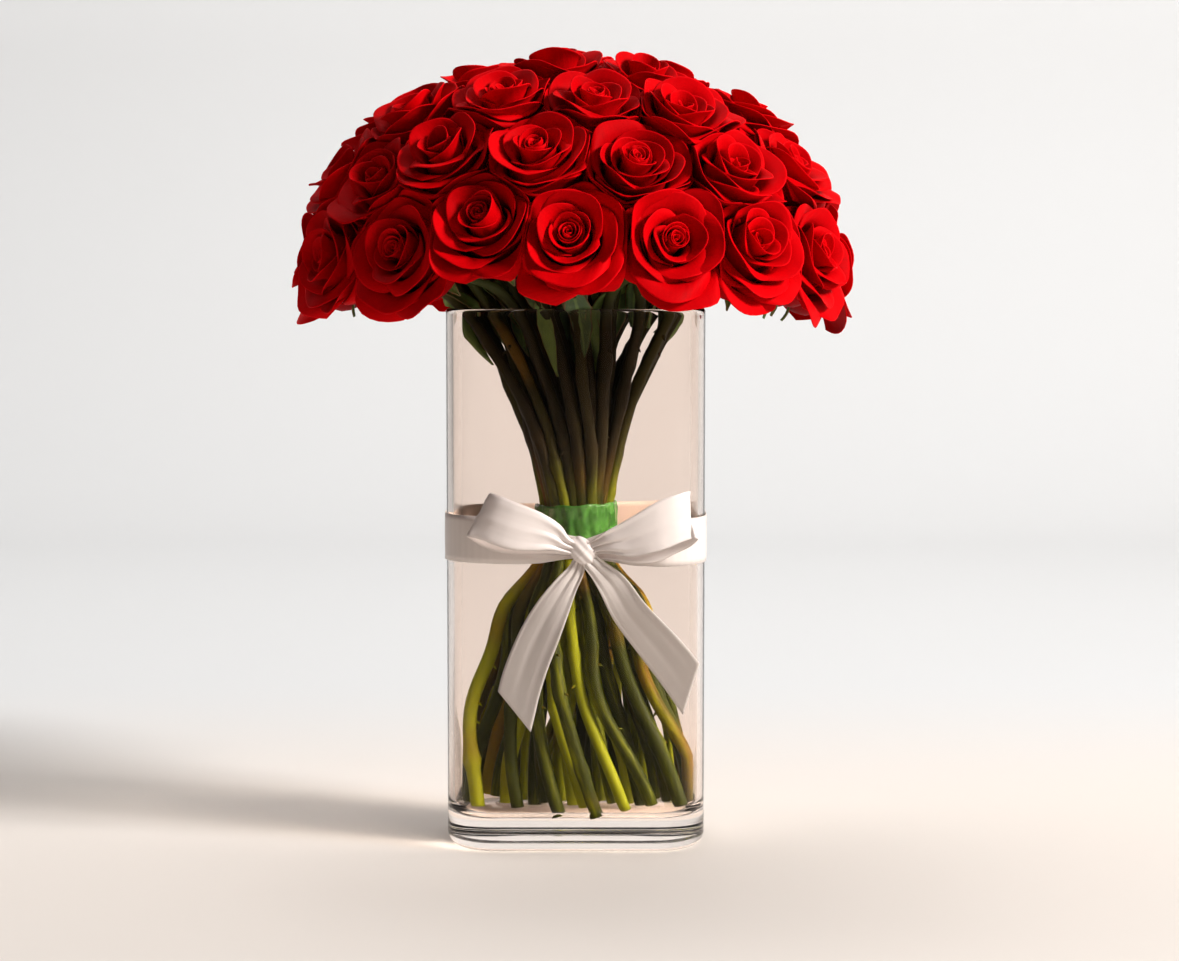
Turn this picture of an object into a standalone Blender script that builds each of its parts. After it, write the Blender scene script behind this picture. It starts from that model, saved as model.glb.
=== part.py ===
"""Forty-four cut roses, tied in a spiral bouquet and standing in a clear glass vase with a satin bow.

Metres, +Z up. The origin is the centre of the vase's underside, the bow faces -Y and +X is to its right.
Run it with: blender --background --python part.py
"""

import math

import bmesh
import bpy
import numpy as np
from mathutils import Vector

GAP = 0.0003  # between neighbouring pieces that touch

# Glass vase: a straight box with rounded corners and a thick base
VASE_WIDTH, VASE_DEPTH, VASE_HEIGHT = 0.150, 0.100, 0.314
VASE_WALL, VASE_BASE = 0.004, 0.019
VASE_CORNER, VASE_HEEL = 0.029, 0.008

# Stems: close-packed rows at the tied waist, front row first
ROW_COUNTS = (5, 6, 7, 8, 7, 6, 5)
STEM_RADIUS, NECK_SHARE = 0.003, 0.85
NECK_STRAIGHT = 0.006  # the stem's last stretch, in line with its bloom
STEM_PITCH, ROW_PITCH = 0.0050, 0.00578
STEM_SPLAY = math.radians(-70)  # turn of the spiral from the cut ends to the rim
CUT_ENDS, CUT_STEP = 0.0205, 0.0012  # height of the lowest cut, and how far the cuts differ
WAIST = (0.170, 0.199)  # the tied stretch
SPREAD = (3.7, 2.25)  # at the cut ends and the rim, across and in depth, beside the waist
FOOT_EASE, RIM_EASE = -0.75, 0.55  # how the spread grows: fast then slow below, slow then fast above
STEM_ROOM = np.array([0.0655, 0.0405])  # half the space that the stems' middle lines keep to inside the glass
RIM_PASS = 0.312  # height at which the stems pass the rim

# Dome of blooms: an ellipsoid that the bloom tips lie on
DOME = np.array([0.164, 0.148, 0.128])
DOME_CENTRE = np.array([0.0, 0.0, 0.337])
LOWEST_SIDE, LOWEST_FRONT = 0.345, 0.362  # bloom tips of the lowest ring
DOME_TURN = math.radians(-6)
BLOOM_SPACING = 0.061
FRONT_BLOOMS = (  # (x, z) of the blooms that the front shows, from the bow upwards
    (0.053, 0.3625),
    (-0.006, 0.3690),
    (-0.053, 0.3790),
    (-0.104, 0.3670),
    (0.108, 0.3570),
    (0.146, 0.3580),
    (-0.148, 0.3580),
    (-0.017, 0.4140),
    (0.038, 0.4070),
    (0.090, 0.4020),
    (-0.079, 0.4090),
    (0.062, 0.4290),
    (0.012, 0.4350),
    (-0.042, 0.4370),
    (-0.137, 0.3930),
    (0.134, 0.4000),
)
HELD = 0.04  # share of the crowding push that those blooms take
UNEVEN, UNEVEN_SEED = 0.006, 11  # how far the blooms start from their even places
LIFT = 0.16  # how much the blooms turn upwards from the dome's own normal

# One bloom, along its axis from the stem: (distance, radius)
BLOOM_LENGTH = 0.054
BLOOM_PROFILE = (
    (0.0, 0.0035),
    (0.006, 0.0065),
    (0.014, 0.0140),
    (0.026, 0.0260),
    (0.041, 0.0315),
    (0.050, 0.0240),
    (BLOOM_LENGTH, 0.0),
)
BLOOM_SIDES = 12

# Tape round the waist, and the satin ribbon round the glass
TAPE_RADIUS, TAPE_THICK = 0.0236, 0.0008
RIBBON_WIDTH, RIBBON_THICK = 0.027, 0.0008
BAND_LOW = 0.168
KNOT = (0.004, -0.0585, 0.1770)
KNOT_SIZE = (0.0085, 0.0055, 0.0105)
# Stations along each loop and tail, in millimetres: the middle (x, y, z), the width, and the degrees that the
# line across the ribbon is turned from +X towards +Z
BOW = {
    "bow_loop_left": (
        (-6.0, -62.0, 181.0, 8.5, 57),
        (-12.0, -65.0, 185.0, 16.0, 60),
        (-21.7, -67.5, 188.5, 22.5, 68),
        (-31.0, -69.0, 191.0, 26.0, 72),
        (-39.8, -69.0, 193.8, 27.0, 70),
        (-48.5, -66.5, 197.0, 27.0, 68),
        (-54.5, -61.5, 197.5, 27.0, 61),
        (-50.5, -57.0, 193.5, 27.0, 66),
        (-42.0, -55.8, 189.5, 27.0, 72),
        (-31.0, -55.8, 187.0, 25.0, 74),
        (-19.0, -56.5, 183.0, 18.0, 75),
        (-10.0, -57.5, 179.5, 11.0, 80),
        (-6.0, -58.0, 178.5, 9.0, 85),
    ),
    "bow_loop_right": (
        (14.0, -62.0, 180.8, 9.0, 125),
        (18.0, -65.0, 181.8, 13.0, 130),
        (29.2, -67.5, 184.2, 20.4, 120),
        (39.5, -69.0, 188.5, 24.0, 104),
        (49.2, -68.8, 193.0, 27.0, 94),
        (59.0, -66.0, 196.5, 27.0, 94),
        (66.0, -61.0, 197.8, 27.0, 97),
        (61.5, -57.0, 192.5, 27.0, 95),
        (52.0, -56.0, 187.5, 27.0, 95),
        (42.0, -55.8, 182.3, 25.5, 97),
        (31.0, -56.2, 179.5, 20.0, 97),
        (22.0, -57.0, 177.6, 14.0, 97),
        (14.0, -58.0, 176.5, 9.0, 95),
    ),
    "bow_tail_left": (
        (-1.4, -58.6, 162.6, 11.0, -40),
        (-4.8, -58.2, 158.0, 13.0, -38),
        (-12.3, -57.0, 145.1, 19.0, -31),
        (-19.8, -55.8, 129.9, 23.5, -25),
        (-26.2, -54.6, 114.7, 24.5, -21),
        (-30.9, -53.6, 100.6, 25.0, -22),
        (-35.0, -52.6, 84.4, 27.9, -52),
    ),
    "bow_tail_right": (
        (13.2, -59.0, 166.6, 11.5, 40),
        (19.5, -58.6, 159.6, 15.0, 38),
        (30.4, -57.2, 142.6, 21.5, 34),
        (45.6, -55.4, 124.0, 25.0, 37),
        (56.8, -54.0, 110.0, 26.5, 44),
        (66.1, -52.6, 97.3, 30.8, 76),
    ),
}

PETAL_RED, LEAF_GREEN, TAPE_GREEN = (0.62, 0.008, 0.012), (0.12, 0.18, 0.03), (0.02, 0.16, 0.04)
SATIN, GLASS = (0.86, 0.80, 0.76), (0.92, 0.95, 0.93)


def material(name, colour, roughness, alpha=1.0):
    """A Principled finish for one kind of sub-part."""
    found = bpy.data.materials.get(name)
    if found:
        return found
    made = bpy.data.materials.new(name)
    made.use_nodes = True
    shader = made.node_tree.nodes["Principled BSDF"]
    shader.inputs["Base Color"].default_value = (*colour, 1.0)
    shader.inputs["Roughness"].default_value = roughness
    shader.inputs["Metallic"].default_value = 0.0
    shader.inputs["Alpha"].default_value = alpha
    return made


def new_collection(name, hidden=False):
    """An empty collection, hidden if it holds helpers."""
    made = bpy.data.collections.new(name)
    made.hide_render = hidden
    bpy.context.scene.collection.children.link(made)
    return made


def add_object(name, mesh, collection, finish=None):
    """The mesh as an object of the collection, with its finish."""
    if finish:
        mesh.materials.append(finish)
    made = bpy.data.objects.new(name, mesh)
    collection.objects.link(made)
    return made


def mesh_from(work, name, smooth=True):
    """The bmesh as a mesh, with its normals facing out."""
    bmesh.ops.recalc_face_normals(work, faces=work.faces)
    mesh = bpy.data.meshes.new(name)
    work.to_mesh(mesh)
    work.free()
    if smooth:
        mesh.shade_smooth()
    return mesh


def rounded_box(name, size, low, corner, heel):
    """A box that stands at height low, with round upright corners and a round lower edge."""
    work = bmesh.new()
    bmesh.ops.create_cube(work, size=1.0)
    for vertex in work.verts:
        height = low + (vertex.co.z + 0.5) * size[2]
        vertex.co = Vector((vertex.co.x * size[0], vertex.co.y * size[1], height))
    upright = [e for e in work.edges if abs(e.verts[0].co.z - e.verts[1].co.z) > size[2] / 2]
    bmesh.ops.bevel(work, geom=upright, offset=corner, segments=6, profile=0.5, affect="EDGES")
    lower = [e for e in work.edges if max(v.co.z for v in e.verts) < low + 1e-6]
    bmesh.ops.bevel(work, geom=lower, offset=heel, segments=3, profile=0.5, affect="EDGES")
    return mesh_from(work, name)


def build_vase(parts, cutters):
    """The vase: a rounded box, less its hollow."""
    outer = rounded_box("vase", (VASE_WIDTH, VASE_DEPTH, VASE_HEIGHT), 0.0, VASE_CORNER, VASE_HEEL)
    vase = add_object("vase", outer, parts, material("clear_glass", GLASS, 0.03, 0.3))
    inner_size = (VASE_WIDTH - 2 * VASE_WALL, VASE_DEPTH - 2 * VASE_WALL, VASE_HEIGHT)
    inner = rounded_box("vase_hollow", inner_size, VASE_BASE, VASE_CORNER - VASE_WALL, VASE_HEEL / 2)
    hollow = add_object("vase_hollow", inner, cutters)
    hollow.display_type = "WIRE"
    hollow.hide_render = True
    cut = vase.modifiers.new("hollow", "BOOLEAN")
    cut.operation = "DIFFERENCE"
    cut.object = hollow


def waist_slots():
    """Where each stem passes the waist, as an array of (x, y), and the row that each belongs to."""
    places, rows = [], []
    for row, count in enumerate(ROW_COUNTS):
        depth = (row - (len(ROW_COUNTS) - 1) / 2) * ROW_PITCH
        for i in range(count):
            places.append(((i - (count - 1) / 2) * STEM_PITCH, depth))
            rows.append(row)
    return np.array(places), np.array(rows)


def on_dome(unit):
    """Points of the dome for unit directions, none lower than the dome's edge."""
    unit = unit / np.linalg.norm(unit, axis=1, keepdims=True)
    flat = np.maximum(np.linalg.norm(unit[:, :2], axis=1), 1e-9)
    sideways = (unit[:, 0] / flat) ** 2
    edge = LOWEST_FRONT + (LOWEST_SIDE - LOWEST_FRONT) * sideways
    rise = np.maximum(unit[:, 2], (edge - DOME_CENTRE[2]) / DOME[2])
    unit[:, :2] *= (np.sqrt(1 - rise**2) / flat)[:, None]
    unit[:, 2] = rise
    return DOME_CENTRE + unit * DOME


def bloom_tips(slots):
    """The slots spread over the dome by equal areas, with the front blooms set, then pushed apart."""
    angle = np.arctan2(slots[:, 1], slots[:, 0])
    share = np.linalg.norm(slots, axis=1)
    share = share / share.max()
    lean = np.arccos(1 - share**2 * (1 - (LOWEST_FRONT - DOME_CENTRE[2]) / DOME[2]))
    azimuth = angle + STEM_SPLAY / 2 + DOME_TURN
    unit = np.stack([np.sin(lean) * np.cos(azimuth), np.sin(lean) * np.sin(azimuth), np.cos(lean)], axis=1)
    tips = on_dome(unit)
    tips = tips + np.random.default_rng(UNEVEN_SEED).normal(0.0, UNEVEN, tips.shape)
    give = np.full((len(tips), 1), 0.25)
    for x, z in FRONT_BLOOMS:
        depth = 1 - (x / DOME[0]) ** 2 - ((z - DOME_CENTRE[2]) / DOME[2]) ** 2
        place = np.array([x, -DOME[1] * math.sqrt(max(depth, 0.0)), z])
        nearest = np.argmin(np.linalg.norm(tips - place, axis=1) + (give[:, 0] < 0.25))
        tips[nearest], give[nearest] = place, 0.25 * HELD
    for _ in range(120):
        away = tips[:, None] - tips[None]
        far = np.linalg.norm(away, axis=2) + np.eye(len(tips))
        push = np.clip(BLOOM_SPACING - far, 0, None) * (1 - np.eye(len(tips)))
        tips = tips + give * (away / far[..., None] * push[..., None]).sum(axis=1)
        tips = on_dome((tips - DOME_CENTRE) / DOME)
    return tips


def bloom_axes(tips):
    """The way each bloom faces: the dome's normal, turned a little upwards."""
    normal = (tips - DOME_CENTRE) / DOME**2
    normal = normal / np.linalg.norm(normal, axis=1, keepdims=True)
    normal[:, 2] += LIFT
    return normal / np.linalg.norm(normal, axis=1, keepdims=True)


def spread_at(slots, height):
    """The slots at a height below the rim: turned by the spiral, then spread across and in depth."""
    if height < WAIST[0]:
        part, ease = (WAIST[0] - height) / (WAIST[0] - CUT_ENDS), FOOT_EASE
    else:
        part, ease = max(height - WAIST[1], 0.0) / (RIM_PASS - WAIST[1]), RIM_EASE
    eased = part * (1 - ease + ease * part)
    turn = (height - sum(WAIST) / 2) / (RIM_PASS - CUT_ENDS) * STEM_SPLAY
    across = slots[:, 0] * math.cos(turn) - slots[:, 1] * math.sin(turn)
    depth = slots[:, 0] * math.sin(turn) + slots[:, 1] * math.cos(turn)
    flat = np.stack([across, depth], axis=1) * (1 + (np.array(SPREAD) - 1) * eased)
    fullness = np.sum((flat / STEM_ROOM) ** 4, axis=1) ** 0.25
    flat = flat / np.maximum(fullness, 1.0)[:, None]
    return np.column_stack([flat, np.full(len(slots), height)])


def stem_routes(slots, bases, axes):
    """Every stem's points from its cut end to its bloom, as an array of stems by points by (x, y, z)."""
    steps = np.arange(len(slots)) * 7 % 5
    low = np.stack([spread_at(slots, CUT_ENDS + CUT_STEP * k)[np.arange(len(slots))] for k in range(5)])
    first = low[steps, np.arange(len(slots))]
    heights = (0.060, 0.100, 0.138, *WAIST, 0.226, 0.256, 0.286, RIM_PASS)
    lower = [first] + [spread_at(slots, h) for h in heights]
    rim, before = lower[-1], lower[-2]
    leave = (rim - before) / np.linalg.norm(rim - before, axis=1, keepdims=True)
    ends = bases - axes * (GAP + NECK_STRAIGHT)
    reach = np.linalg.norm(ends - rim, axis=1, keepdims=True)
    upper = []
    for t in (0.35, 0.7, 1.0):
        upper.append(
            (2 * t**3 - 3 * t**2 + 1) * rim
            + (t**3 - 2 * t**2 + t) * reach * leave
            + (3 * t**2 - 2 * t**3) * ends
            + (t**3 - t**2) * reach * axes
        )
    return np.stack(lower + upper + [bases - axes * GAP], axis=1)


def stem_mesh(name, route):
    """One stem as a closed six-sided tube that thins towards its bloom."""
    curve = bpy.data.curves.new(name, "CURVE")
    curve.dimensions = "3D"
    curve.bevel_depth = STEM_RADIUS
    curve.bevel_resolution = 1
    curve.use_fill_caps = True
    spline = curve.splines.new("POLY")
    spline.points.add(len(route) - 1)
    for i, (point, place) in enumerate(zip(spline.points, route)):
        point.co = (*place, 1.0)
        point.radius = 1 - (1 - NECK_SHARE) * i / (len(route) - 1)
    guide = bpy.data.objects.new(name, curve)
    bpy.context.scene.collection.objects.link(guide)
    graph = bpy.context.evaluated_depsgraph_get()
    mesh = bpy.data.meshes.new_from_object(guide.evaluated_get(graph))
    bpy.data.objects.remove(guide)
    work = bmesh.new()
    work.from_mesh(mesh)
    bmesh.ops.remove_doubles(work, verts=work.verts, dist=1e-6)
    bpy.data.meshes.remove(mesh)
    return mesh_from(work, name)


def build_stems(parts, cutters, routes, rows):
    """One object for each row of stems, joined where the row's stems press together at the waist."""
    finish = material("rose_stem", LEAF_GREEN, 0.5)
    for row in range(len(ROW_COUNTS)):
        members = np.flatnonzero(rows == row)
        name = f"stems_row_{row + 1}"
        stems = add_object(name, stem_mesh(name, routes[members[0]]), parts, finish)
        others = new_collection(f"{name}_joined", hidden=True)
        for i in members[1:]:
            other = add_object(f"{name}_stem_{i}", stem_mesh(f"{name}_stem", routes[i]), others)
            other.display_type = "WIRE"
            other.hide_render = True
        bpy.context.scene.collection.children.unlink(others)
        cutters.children.link(others)
        join = stems.modifiers.new("join", "BOOLEAN")
        join.operation = "UNION"
        join.operand_type = "COLLECTION"
        join.collection = others


def kept_inside(points, centres, own, others):
    """Each point drawn back towards its centre, to its own side of every neighbour's middle plane."""
    reach = points - centres
    share = np.ones(len(points))
    for other in others:
        normal = other - own
        normal = normal / np.linalg.norm(normal)
        limit = (normal @ (own + other)) / 2 - GAP
        room = limit - centres @ normal
        along = reach @ normal
        share = np.where(along > room, np.minimum(share, room / np.maximum(along, 1e-9)), share)
    return centres + reach * np.maximum(share, 0.0)[:, None]


def bloom_mesh(name, base, axis, own, others):
    """A rose head: a sphere's grid drawn to the bloom's profile and pressed flat against its neighbours."""
    work = bmesh.new()
    rings = len(BLOOM_PROFILE) - 1
    bmesh.ops.create_uvsphere(work, u_segments=BLOOM_SIDES, v_segments=rings + 1, radius=1.0)
    unit = np.array([v.co[:] for v in work.verts])
    step = (1 - np.arccos(np.clip(unit[:, 2], -1, 1)) / math.pi) * (rings + 1)
    distances = np.array([0.0] + [d for d, _ in BLOOM_PROFILE[:-1]] + [BLOOM_LENGTH])
    radii = np.array([0.0] + [r for _, r in BLOOM_PROFILE[:-1]] + [0.0])
    along = np.interp(step, np.arange(rings + 2), distances)
    radius = np.interp(step, np.arange(rings + 2), radii)
    turn = np.arctan2(unit[:, 1], unit[:, 0])
    side = np.cross(axis, (0.0, 0.0, 1.0) if abs(axis[2]) < 0.95 else (0.0, 1.0, 0.0))
    side = side / np.linalg.norm(side)
    up = np.cross(axis, side)
    centres = base + along[:, None] * axis
    out = np.cos(turn)[:, None] * side + np.sin(turn)[:, None] * up
    points = kept_inside(centres + radius[:, None] * out, centres, own, others)
    for vertex, point in zip(work.verts, points):
        vertex.co = point
    mesh = bpy.data.meshes.new(name)
    work.to_mesh(mesh)
    work.free()
    mesh.shade_smooth()
    return mesh


def build_blooms(parts, tips, axes, bases):
    """Every bloom, numbered by the height of its tip from the top down."""
    finish = material("rose_petal", PETAL_RED, 0.55)
    hearts = bases + axes * BLOOM_LENGTH * 0.7
    order = np.argsort(-tips[:, 2], kind="stable")
    for number, i in enumerate(order):
        away = np.linalg.norm(hearts - hearts[i], axis=1)
        others = hearts[(away > 1e-6) & (away < 2.6 * BLOOM_LENGTH)]
        name = f"rose_bloom_{number + 1:02d}"
        add_object(name, bloom_mesh(name, bases[i], axes[i], hearts[i], others), parts, finish)


def build_tape(parts):
    """The tape wound round the waist: an open tube with a wall."""
    work = bmesh.new()
    bmesh.ops.create_cone(
        work, cap_ends=False, segments=24, radius1=TAPE_RADIUS, radius2=TAPE_RADIUS, depth=WAIST[1] - WAIST[0]
    )
    for vertex in work.verts:
        vertex.co.z += sum(WAIST) / 2
    finish = material("binding_tape", TAPE_GREEN, 0.3)
    tape = add_object("binding_tape", mesh_from(work, "binding_tape"), parts, finish)
    wall = tape.modifiers.new("wall", "SOLIDIFY")
    wall.thickness = TAPE_THICK
    wall.offset = 1.0


def build_band(parts):
    """The ribbon's turn round the glass."""
    work = bmesh.new()
    bmesh.ops.create_cube(work, size=1.0)
    grown = 2 * GAP
    for vertex in work.verts:
        height = BAND_LOW + (vertex.co.z + 0.5) * RIBBON_WIDTH
        vertex.co = Vector((vertex.co.x * (VASE_WIDTH + grown), vertex.co.y * (VASE_DEPTH + grown), height))
    upright = [e for e in work.edges if abs(e.verts[0].co.z - e.verts[1].co.z) > RIBBON_WIDTH / 2]
    bmesh.ops.bevel(work, geom=upright, offset=VASE_CORNER + GAP, segments=6, profile=0.5, affect="EDGES")
    bmesh.ops.recalc_face_normals(work, faces=work.faces)
    bmesh.ops.delete(work, geom=[f for f in work.faces if abs(f.normal.z) > 0.5], context="FACES_ONLY")
    mesh = bpy.data.meshes.new("ribbon_band")
    work.to_mesh(mesh)
    work.free()
    band = add_object("ribbon_band", mesh, parts, material("satin_ribbon", SATIN, 0.35))
    wall = band.modifiers.new("wall", "SOLIDIFY")
    wall.thickness = RIBBON_THICK
    wall.offset = 1.0


def build_strip(parts, name, stations):
    """A loop or tail of the bow: a ribbon through its stations, with its thickness either way."""
    work = bmesh.new()
    edges = []
    for x, y, z, width, turned in stations:
        half = Vector((math.cos(math.radians(turned)), 0.0, math.sin(math.radians(turned)))) * width / 2
        edges.append([work.verts.new((Vector((x, y, z)) + half * end) / 1000) for end in (-1, 1)])
    for (a, b), (c, d) in zip(edges, edges[1:]):
        work.faces.new((a, b, d, c))
    made = add_object(name, mesh_from(work, name), parts, material("satin_ribbon", SATIN, 0.35))
    wall = made.modifiers.new("wall", "SOLIDIFY")
    wall.thickness = RIBBON_THICK
    wall.offset = 0.0


def build_knot(parts):
    """The bow's knot: a flattened ball."""
    work = bmesh.new()
    bmesh.ops.create_uvsphere(work, u_segments=12, v_segments=8, radius=1.0)
    for vertex in work.verts:
        vertex.co = Vector([k + s * c for k, s, c in zip(KNOT, KNOT_SIZE, vertex.co)])
    add_object("bow_knot", mesh_from(work, "bow_knot"), parts, material("satin_ribbon", SATIN, 0.35))


def main():
    for old in list(bpy.data.objects):
        bpy.data.objects.remove(old)
    parts = new_collection("roses_in_a_vase")
    cutters = new_collection("cutters", hidden=True)
    slots, rows = waist_slots()
    tips = bloom_tips(slots)
    axes = bloom_axes(tips)
    bases = tips - axes * BLOOM_LENGTH
    build_vase(parts, cutters)
    build_stems(parts, cutters, stem_routes(slots, bases, axes), rows)
    build_blooms(parts, tips, axes, bases)
    build_tape(parts)
    build_band(parts)
    build_knot(parts)
    for name, stations in BOW.items():
        build_strip(parts, name, stations)


main()
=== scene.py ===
"""The looks of a tied bunch of roses in a clear glass vase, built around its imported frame.

Every piece is in metres in the frame's own axes: +Z up, the bow towards -Y. The plan of the bunch repeats
the frame's rule for where each rose stands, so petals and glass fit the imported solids. The stems follow the
packed rows too, but they are thicker, they bend more and they stand a little further apart.
"""

from __future__ import annotations

import logging
import math
from dataclasses import dataclass, field
from enum import Enum
from typing import Union

import bpy
import numpy as np
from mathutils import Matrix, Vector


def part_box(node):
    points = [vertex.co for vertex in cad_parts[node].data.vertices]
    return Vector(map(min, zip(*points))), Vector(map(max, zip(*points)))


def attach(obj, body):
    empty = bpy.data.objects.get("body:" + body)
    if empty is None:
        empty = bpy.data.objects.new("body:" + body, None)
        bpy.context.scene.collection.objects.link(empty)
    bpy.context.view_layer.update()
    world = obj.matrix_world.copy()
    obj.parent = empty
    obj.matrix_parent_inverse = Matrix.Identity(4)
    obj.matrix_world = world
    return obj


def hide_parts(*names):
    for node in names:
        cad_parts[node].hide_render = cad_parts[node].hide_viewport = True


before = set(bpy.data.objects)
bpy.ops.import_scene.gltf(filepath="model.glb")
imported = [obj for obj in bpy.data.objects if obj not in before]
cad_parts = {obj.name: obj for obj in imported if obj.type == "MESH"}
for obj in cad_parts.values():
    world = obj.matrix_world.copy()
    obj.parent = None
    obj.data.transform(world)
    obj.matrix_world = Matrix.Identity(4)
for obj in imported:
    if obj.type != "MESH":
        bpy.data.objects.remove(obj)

Array = np.ndarray
BODY = "root"
ASTRAY = 0.012  # metres: how far a packed bloom may be from where the plan puts it
log = logging.getLogger("roses")


# ---------------------------------------------------------------- number helpers


def smooth(low: float | Array, high: float | Array, x: Array) -> Array:
    """A soft step: 0 up to low, 1 from high, and 3t^2 - 2t^3 between them.

    Args:
        low: where the step starts.
        high: where it ends.
        x: the values to step.

    Returns:
        The stepped values, each from 0 to 1.
    """
    t = np.clip((x - low) / (high - low), 0.0, 1.0)
    return t * t * (3 - 2 * t)


def unit(vectors: Array) -> Array:
    """The vectors along the last axis, each made one long."""
    return vectors / np.maximum(np.linalg.norm(vectors, axis=-1, keepdims=True), 1e-12)


def through(points: Array, count: int) -> Array:
    """A smooth line through a few points, as a Catmull-Rom curve spaced by chord length.

    Args:
        points: the points to pass, (n, 3 or more): the first three numbers are the place, and any others,
            such as a width, are carried along.
        count: how many points to give back.

    Returns:
        The line, (count, 3 or more).
    """
    chord = np.concatenate([[0.0], np.cumsum(np.linalg.norm(np.diff(points[:, :3], axis=0), axis=1))])
    slope = np.gradient(points, chord, axis=0)
    where = np.linspace(0.0, chord[-1], count)
    i = np.clip(np.searchsorted(chord, where, side="right") - 1, 0, len(points) - 2)
    step = (chord[i + 1] - chord[i])[:, None]
    t = (where - chord[i])[:, None] / step
    return (
        (2 * t**3 - 3 * t**2 + 1) * points[i]
        + (t**3 - 2 * t**2 + t) * step * slope[i]
        + (3 * t**2 - 2 * t**3) * points[i + 1]
        + (t**3 - t**2) * step * slope[i + 1]
    )


def square_to(axis: Array) -> tuple[Array, Array]:
    """Two directions square to an axis and to each other; the first is level unless the axis is upright."""
    side = unit(np.cross(axis, (0.0, 0.0, 1.0) if abs(axis[2]) < 0.95 else (0.0, 1.0, 0.0)))
    return side, np.cross(axis, side)


# ---------------------------------------------------------------- surfaces


@dataclass
class Surface:
    """Points and faces of one or more closed skins, with a map and a tone at every point."""

    points: Array
    quads: Array
    tris: Array
    uv: Array
    tone: Array

    def piece(
        self, name: str, finish: bpy.types.Material, *more: bpy.types.Material, second: Array | None = None
    ) -> bpy.types.Object:
        """Makes the surface an object at the origin, shaded smooth, with its map and tone.

        Args:
            name: the object's name.
            finish: its first material.
            more: further materials.
            second: for each face, quads then triangles, the number of its material.

        Returns:
            The object, linked to the scene.
        """
        mesh = bpy.data.meshes.new(name)
        corners = np.concatenate([self.quads.ravel(), self.tris.ravel()]).astype(np.int32)
        totals = np.concatenate([np.full(len(self.quads), 4), np.full(len(self.tris), 3)])
        starts = np.concatenate([[0], np.cumsum(totals)[:-1]])
        mesh.vertices.add(len(self.points))
        mesh.vertices.foreach_set("co", self.points.astype(np.float32).ravel())
        mesh.loops.add(len(corners))
        mesh.loops.foreach_set("vertex_index", corners)
        mesh.polygons.add(len(totals))
        mesh.polygons.foreach_set("loop_start", starts.astype(np.int32))
        mesh.update(calc_edges=True)
        layer = mesh.uv_layers.new(name="UVMap")
        layer.data.foreach_set("uv", self.uv[corners].astype(np.float32).ravel())
        tone = mesh.attributes.new("tone", "FLOAT", "POINT")
        tone.data.foreach_set("value", self.tone.astype(np.float32))
        for one in (finish, *more):
            mesh.materials.append(one)
        if second is not None:
            mesh.polygons.foreach_set("material_index", second.astype(np.int32))
        mesh.shade_smooth()
        made = bpy.data.objects.new(name, mesh)
        bpy.context.scene.collection.objects.link(made)
        return made


def joined(parts: list[Surface]) -> Surface:
    """Several surfaces as one, without welding them.

    Args:
        parts: the surfaces.

    Returns:
        One surface with all their points and faces.
    """
    starts = np.cumsum([0] + [len(p.points) for p in parts[:-1]])
    return Surface(
        np.concatenate([p.points for p in parts]),
        np.concatenate([p.quads + s for p, s in zip(parts, starts)]),
        np.concatenate([p.tris + s for p, s in zip(parts, starts)]),
        np.concatenate([p.uv for p in parts]),
        np.concatenate([p.tone for p in parts]),
    )


def leaf_shells(grids: Array, thick: float, tone: Array, ring: bool = False) -> Surface:
    """Thin closed skins, one round each open grid.

    Each grid is moved half the thickness along its normal and half against it, and the two layers are joined
    by a rim. The normal is the cross product of the grid's two directions.

    Args:
        grids: the grids, (pieces, across, along, 3).
        thick: the skin's thickness.
        tone: one tone for each grid.
        ring: whether each grid closes on itself across.

    Returns:
        The skins as one surface.
    """
    pieces, across, along = grids.shape[:3]
    if ring:
        wrapped = np.concatenate([grids[:, -1:], grids, grids[:, :1]], axis=1)
        over = np.gradient(wrapped, axis=1)[:, 1:-1]
    else:
        over = np.gradient(grids, axis=1)
    normal = unit(np.cross(over, np.gradient(grids, axis=2)))
    points = np.stack([grids + normal * thick / 2, grids - normal * thick / 2], axis=1)
    index = np.arange(pieces * 2 * across * along).reshape(pieces, 2, across, along)
    top, low = index[:, 0], index[:, 1]
    if ring:
        top, low = (np.concatenate([x, x[:, :1]], axis=1) for x in (top, low))
    faces = [np.stack([top[:, :-1, :-1], top[:, 1:, :-1], top[:, 1:, 1:], top[:, :-1, 1:]], axis=-1)]
    faces.append(np.stack([low[:, :-1, :-1], low[:, :-1, 1:], low[:, 1:, 1:], low[:, 1:, :-1]], axis=-1))
    if ring:
        edges = [(top[:, :, 0], low[:, :, 0]), (top[:, ::-1, -1], low[:, ::-1, -1])]
    else:
        edges = [(round_edge(top), round_edge(low))]
    for above, below in edges:
        faces.append(np.stack([below[:, :-1], below[:, 1:], above[:, 1:], above[:, :-1]], axis=-1))
    u, v = np.meshgrid(np.linspace(0, 1, across), np.linspace(0, 1, along), indexing="ij")
    uv = np.broadcast_to(np.stack([u, v], axis=-1), (pieces, 2, across, along, 2))
    return Surface(
        points.reshape(-1, 3),
        np.concatenate([f.reshape(-1, 4) for f in faces]),
        np.zeros((0, 3), int),
        uv.reshape(-1, 2),
        np.broadcast_to(tone[:, None, None, None], (pieces, 2, across, along)).ravel(),
    )


def round_edge(index: Array) -> Array:
    """The point numbers round the edge of each grid, counter-clockwise and back to the first."""
    sides = [index[:, :-1, 0], index[:, -1, :-1], index[:, :0:-1, -1], index[:, 0, ::-1]]
    return np.concatenate(sides, axis=1)


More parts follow.
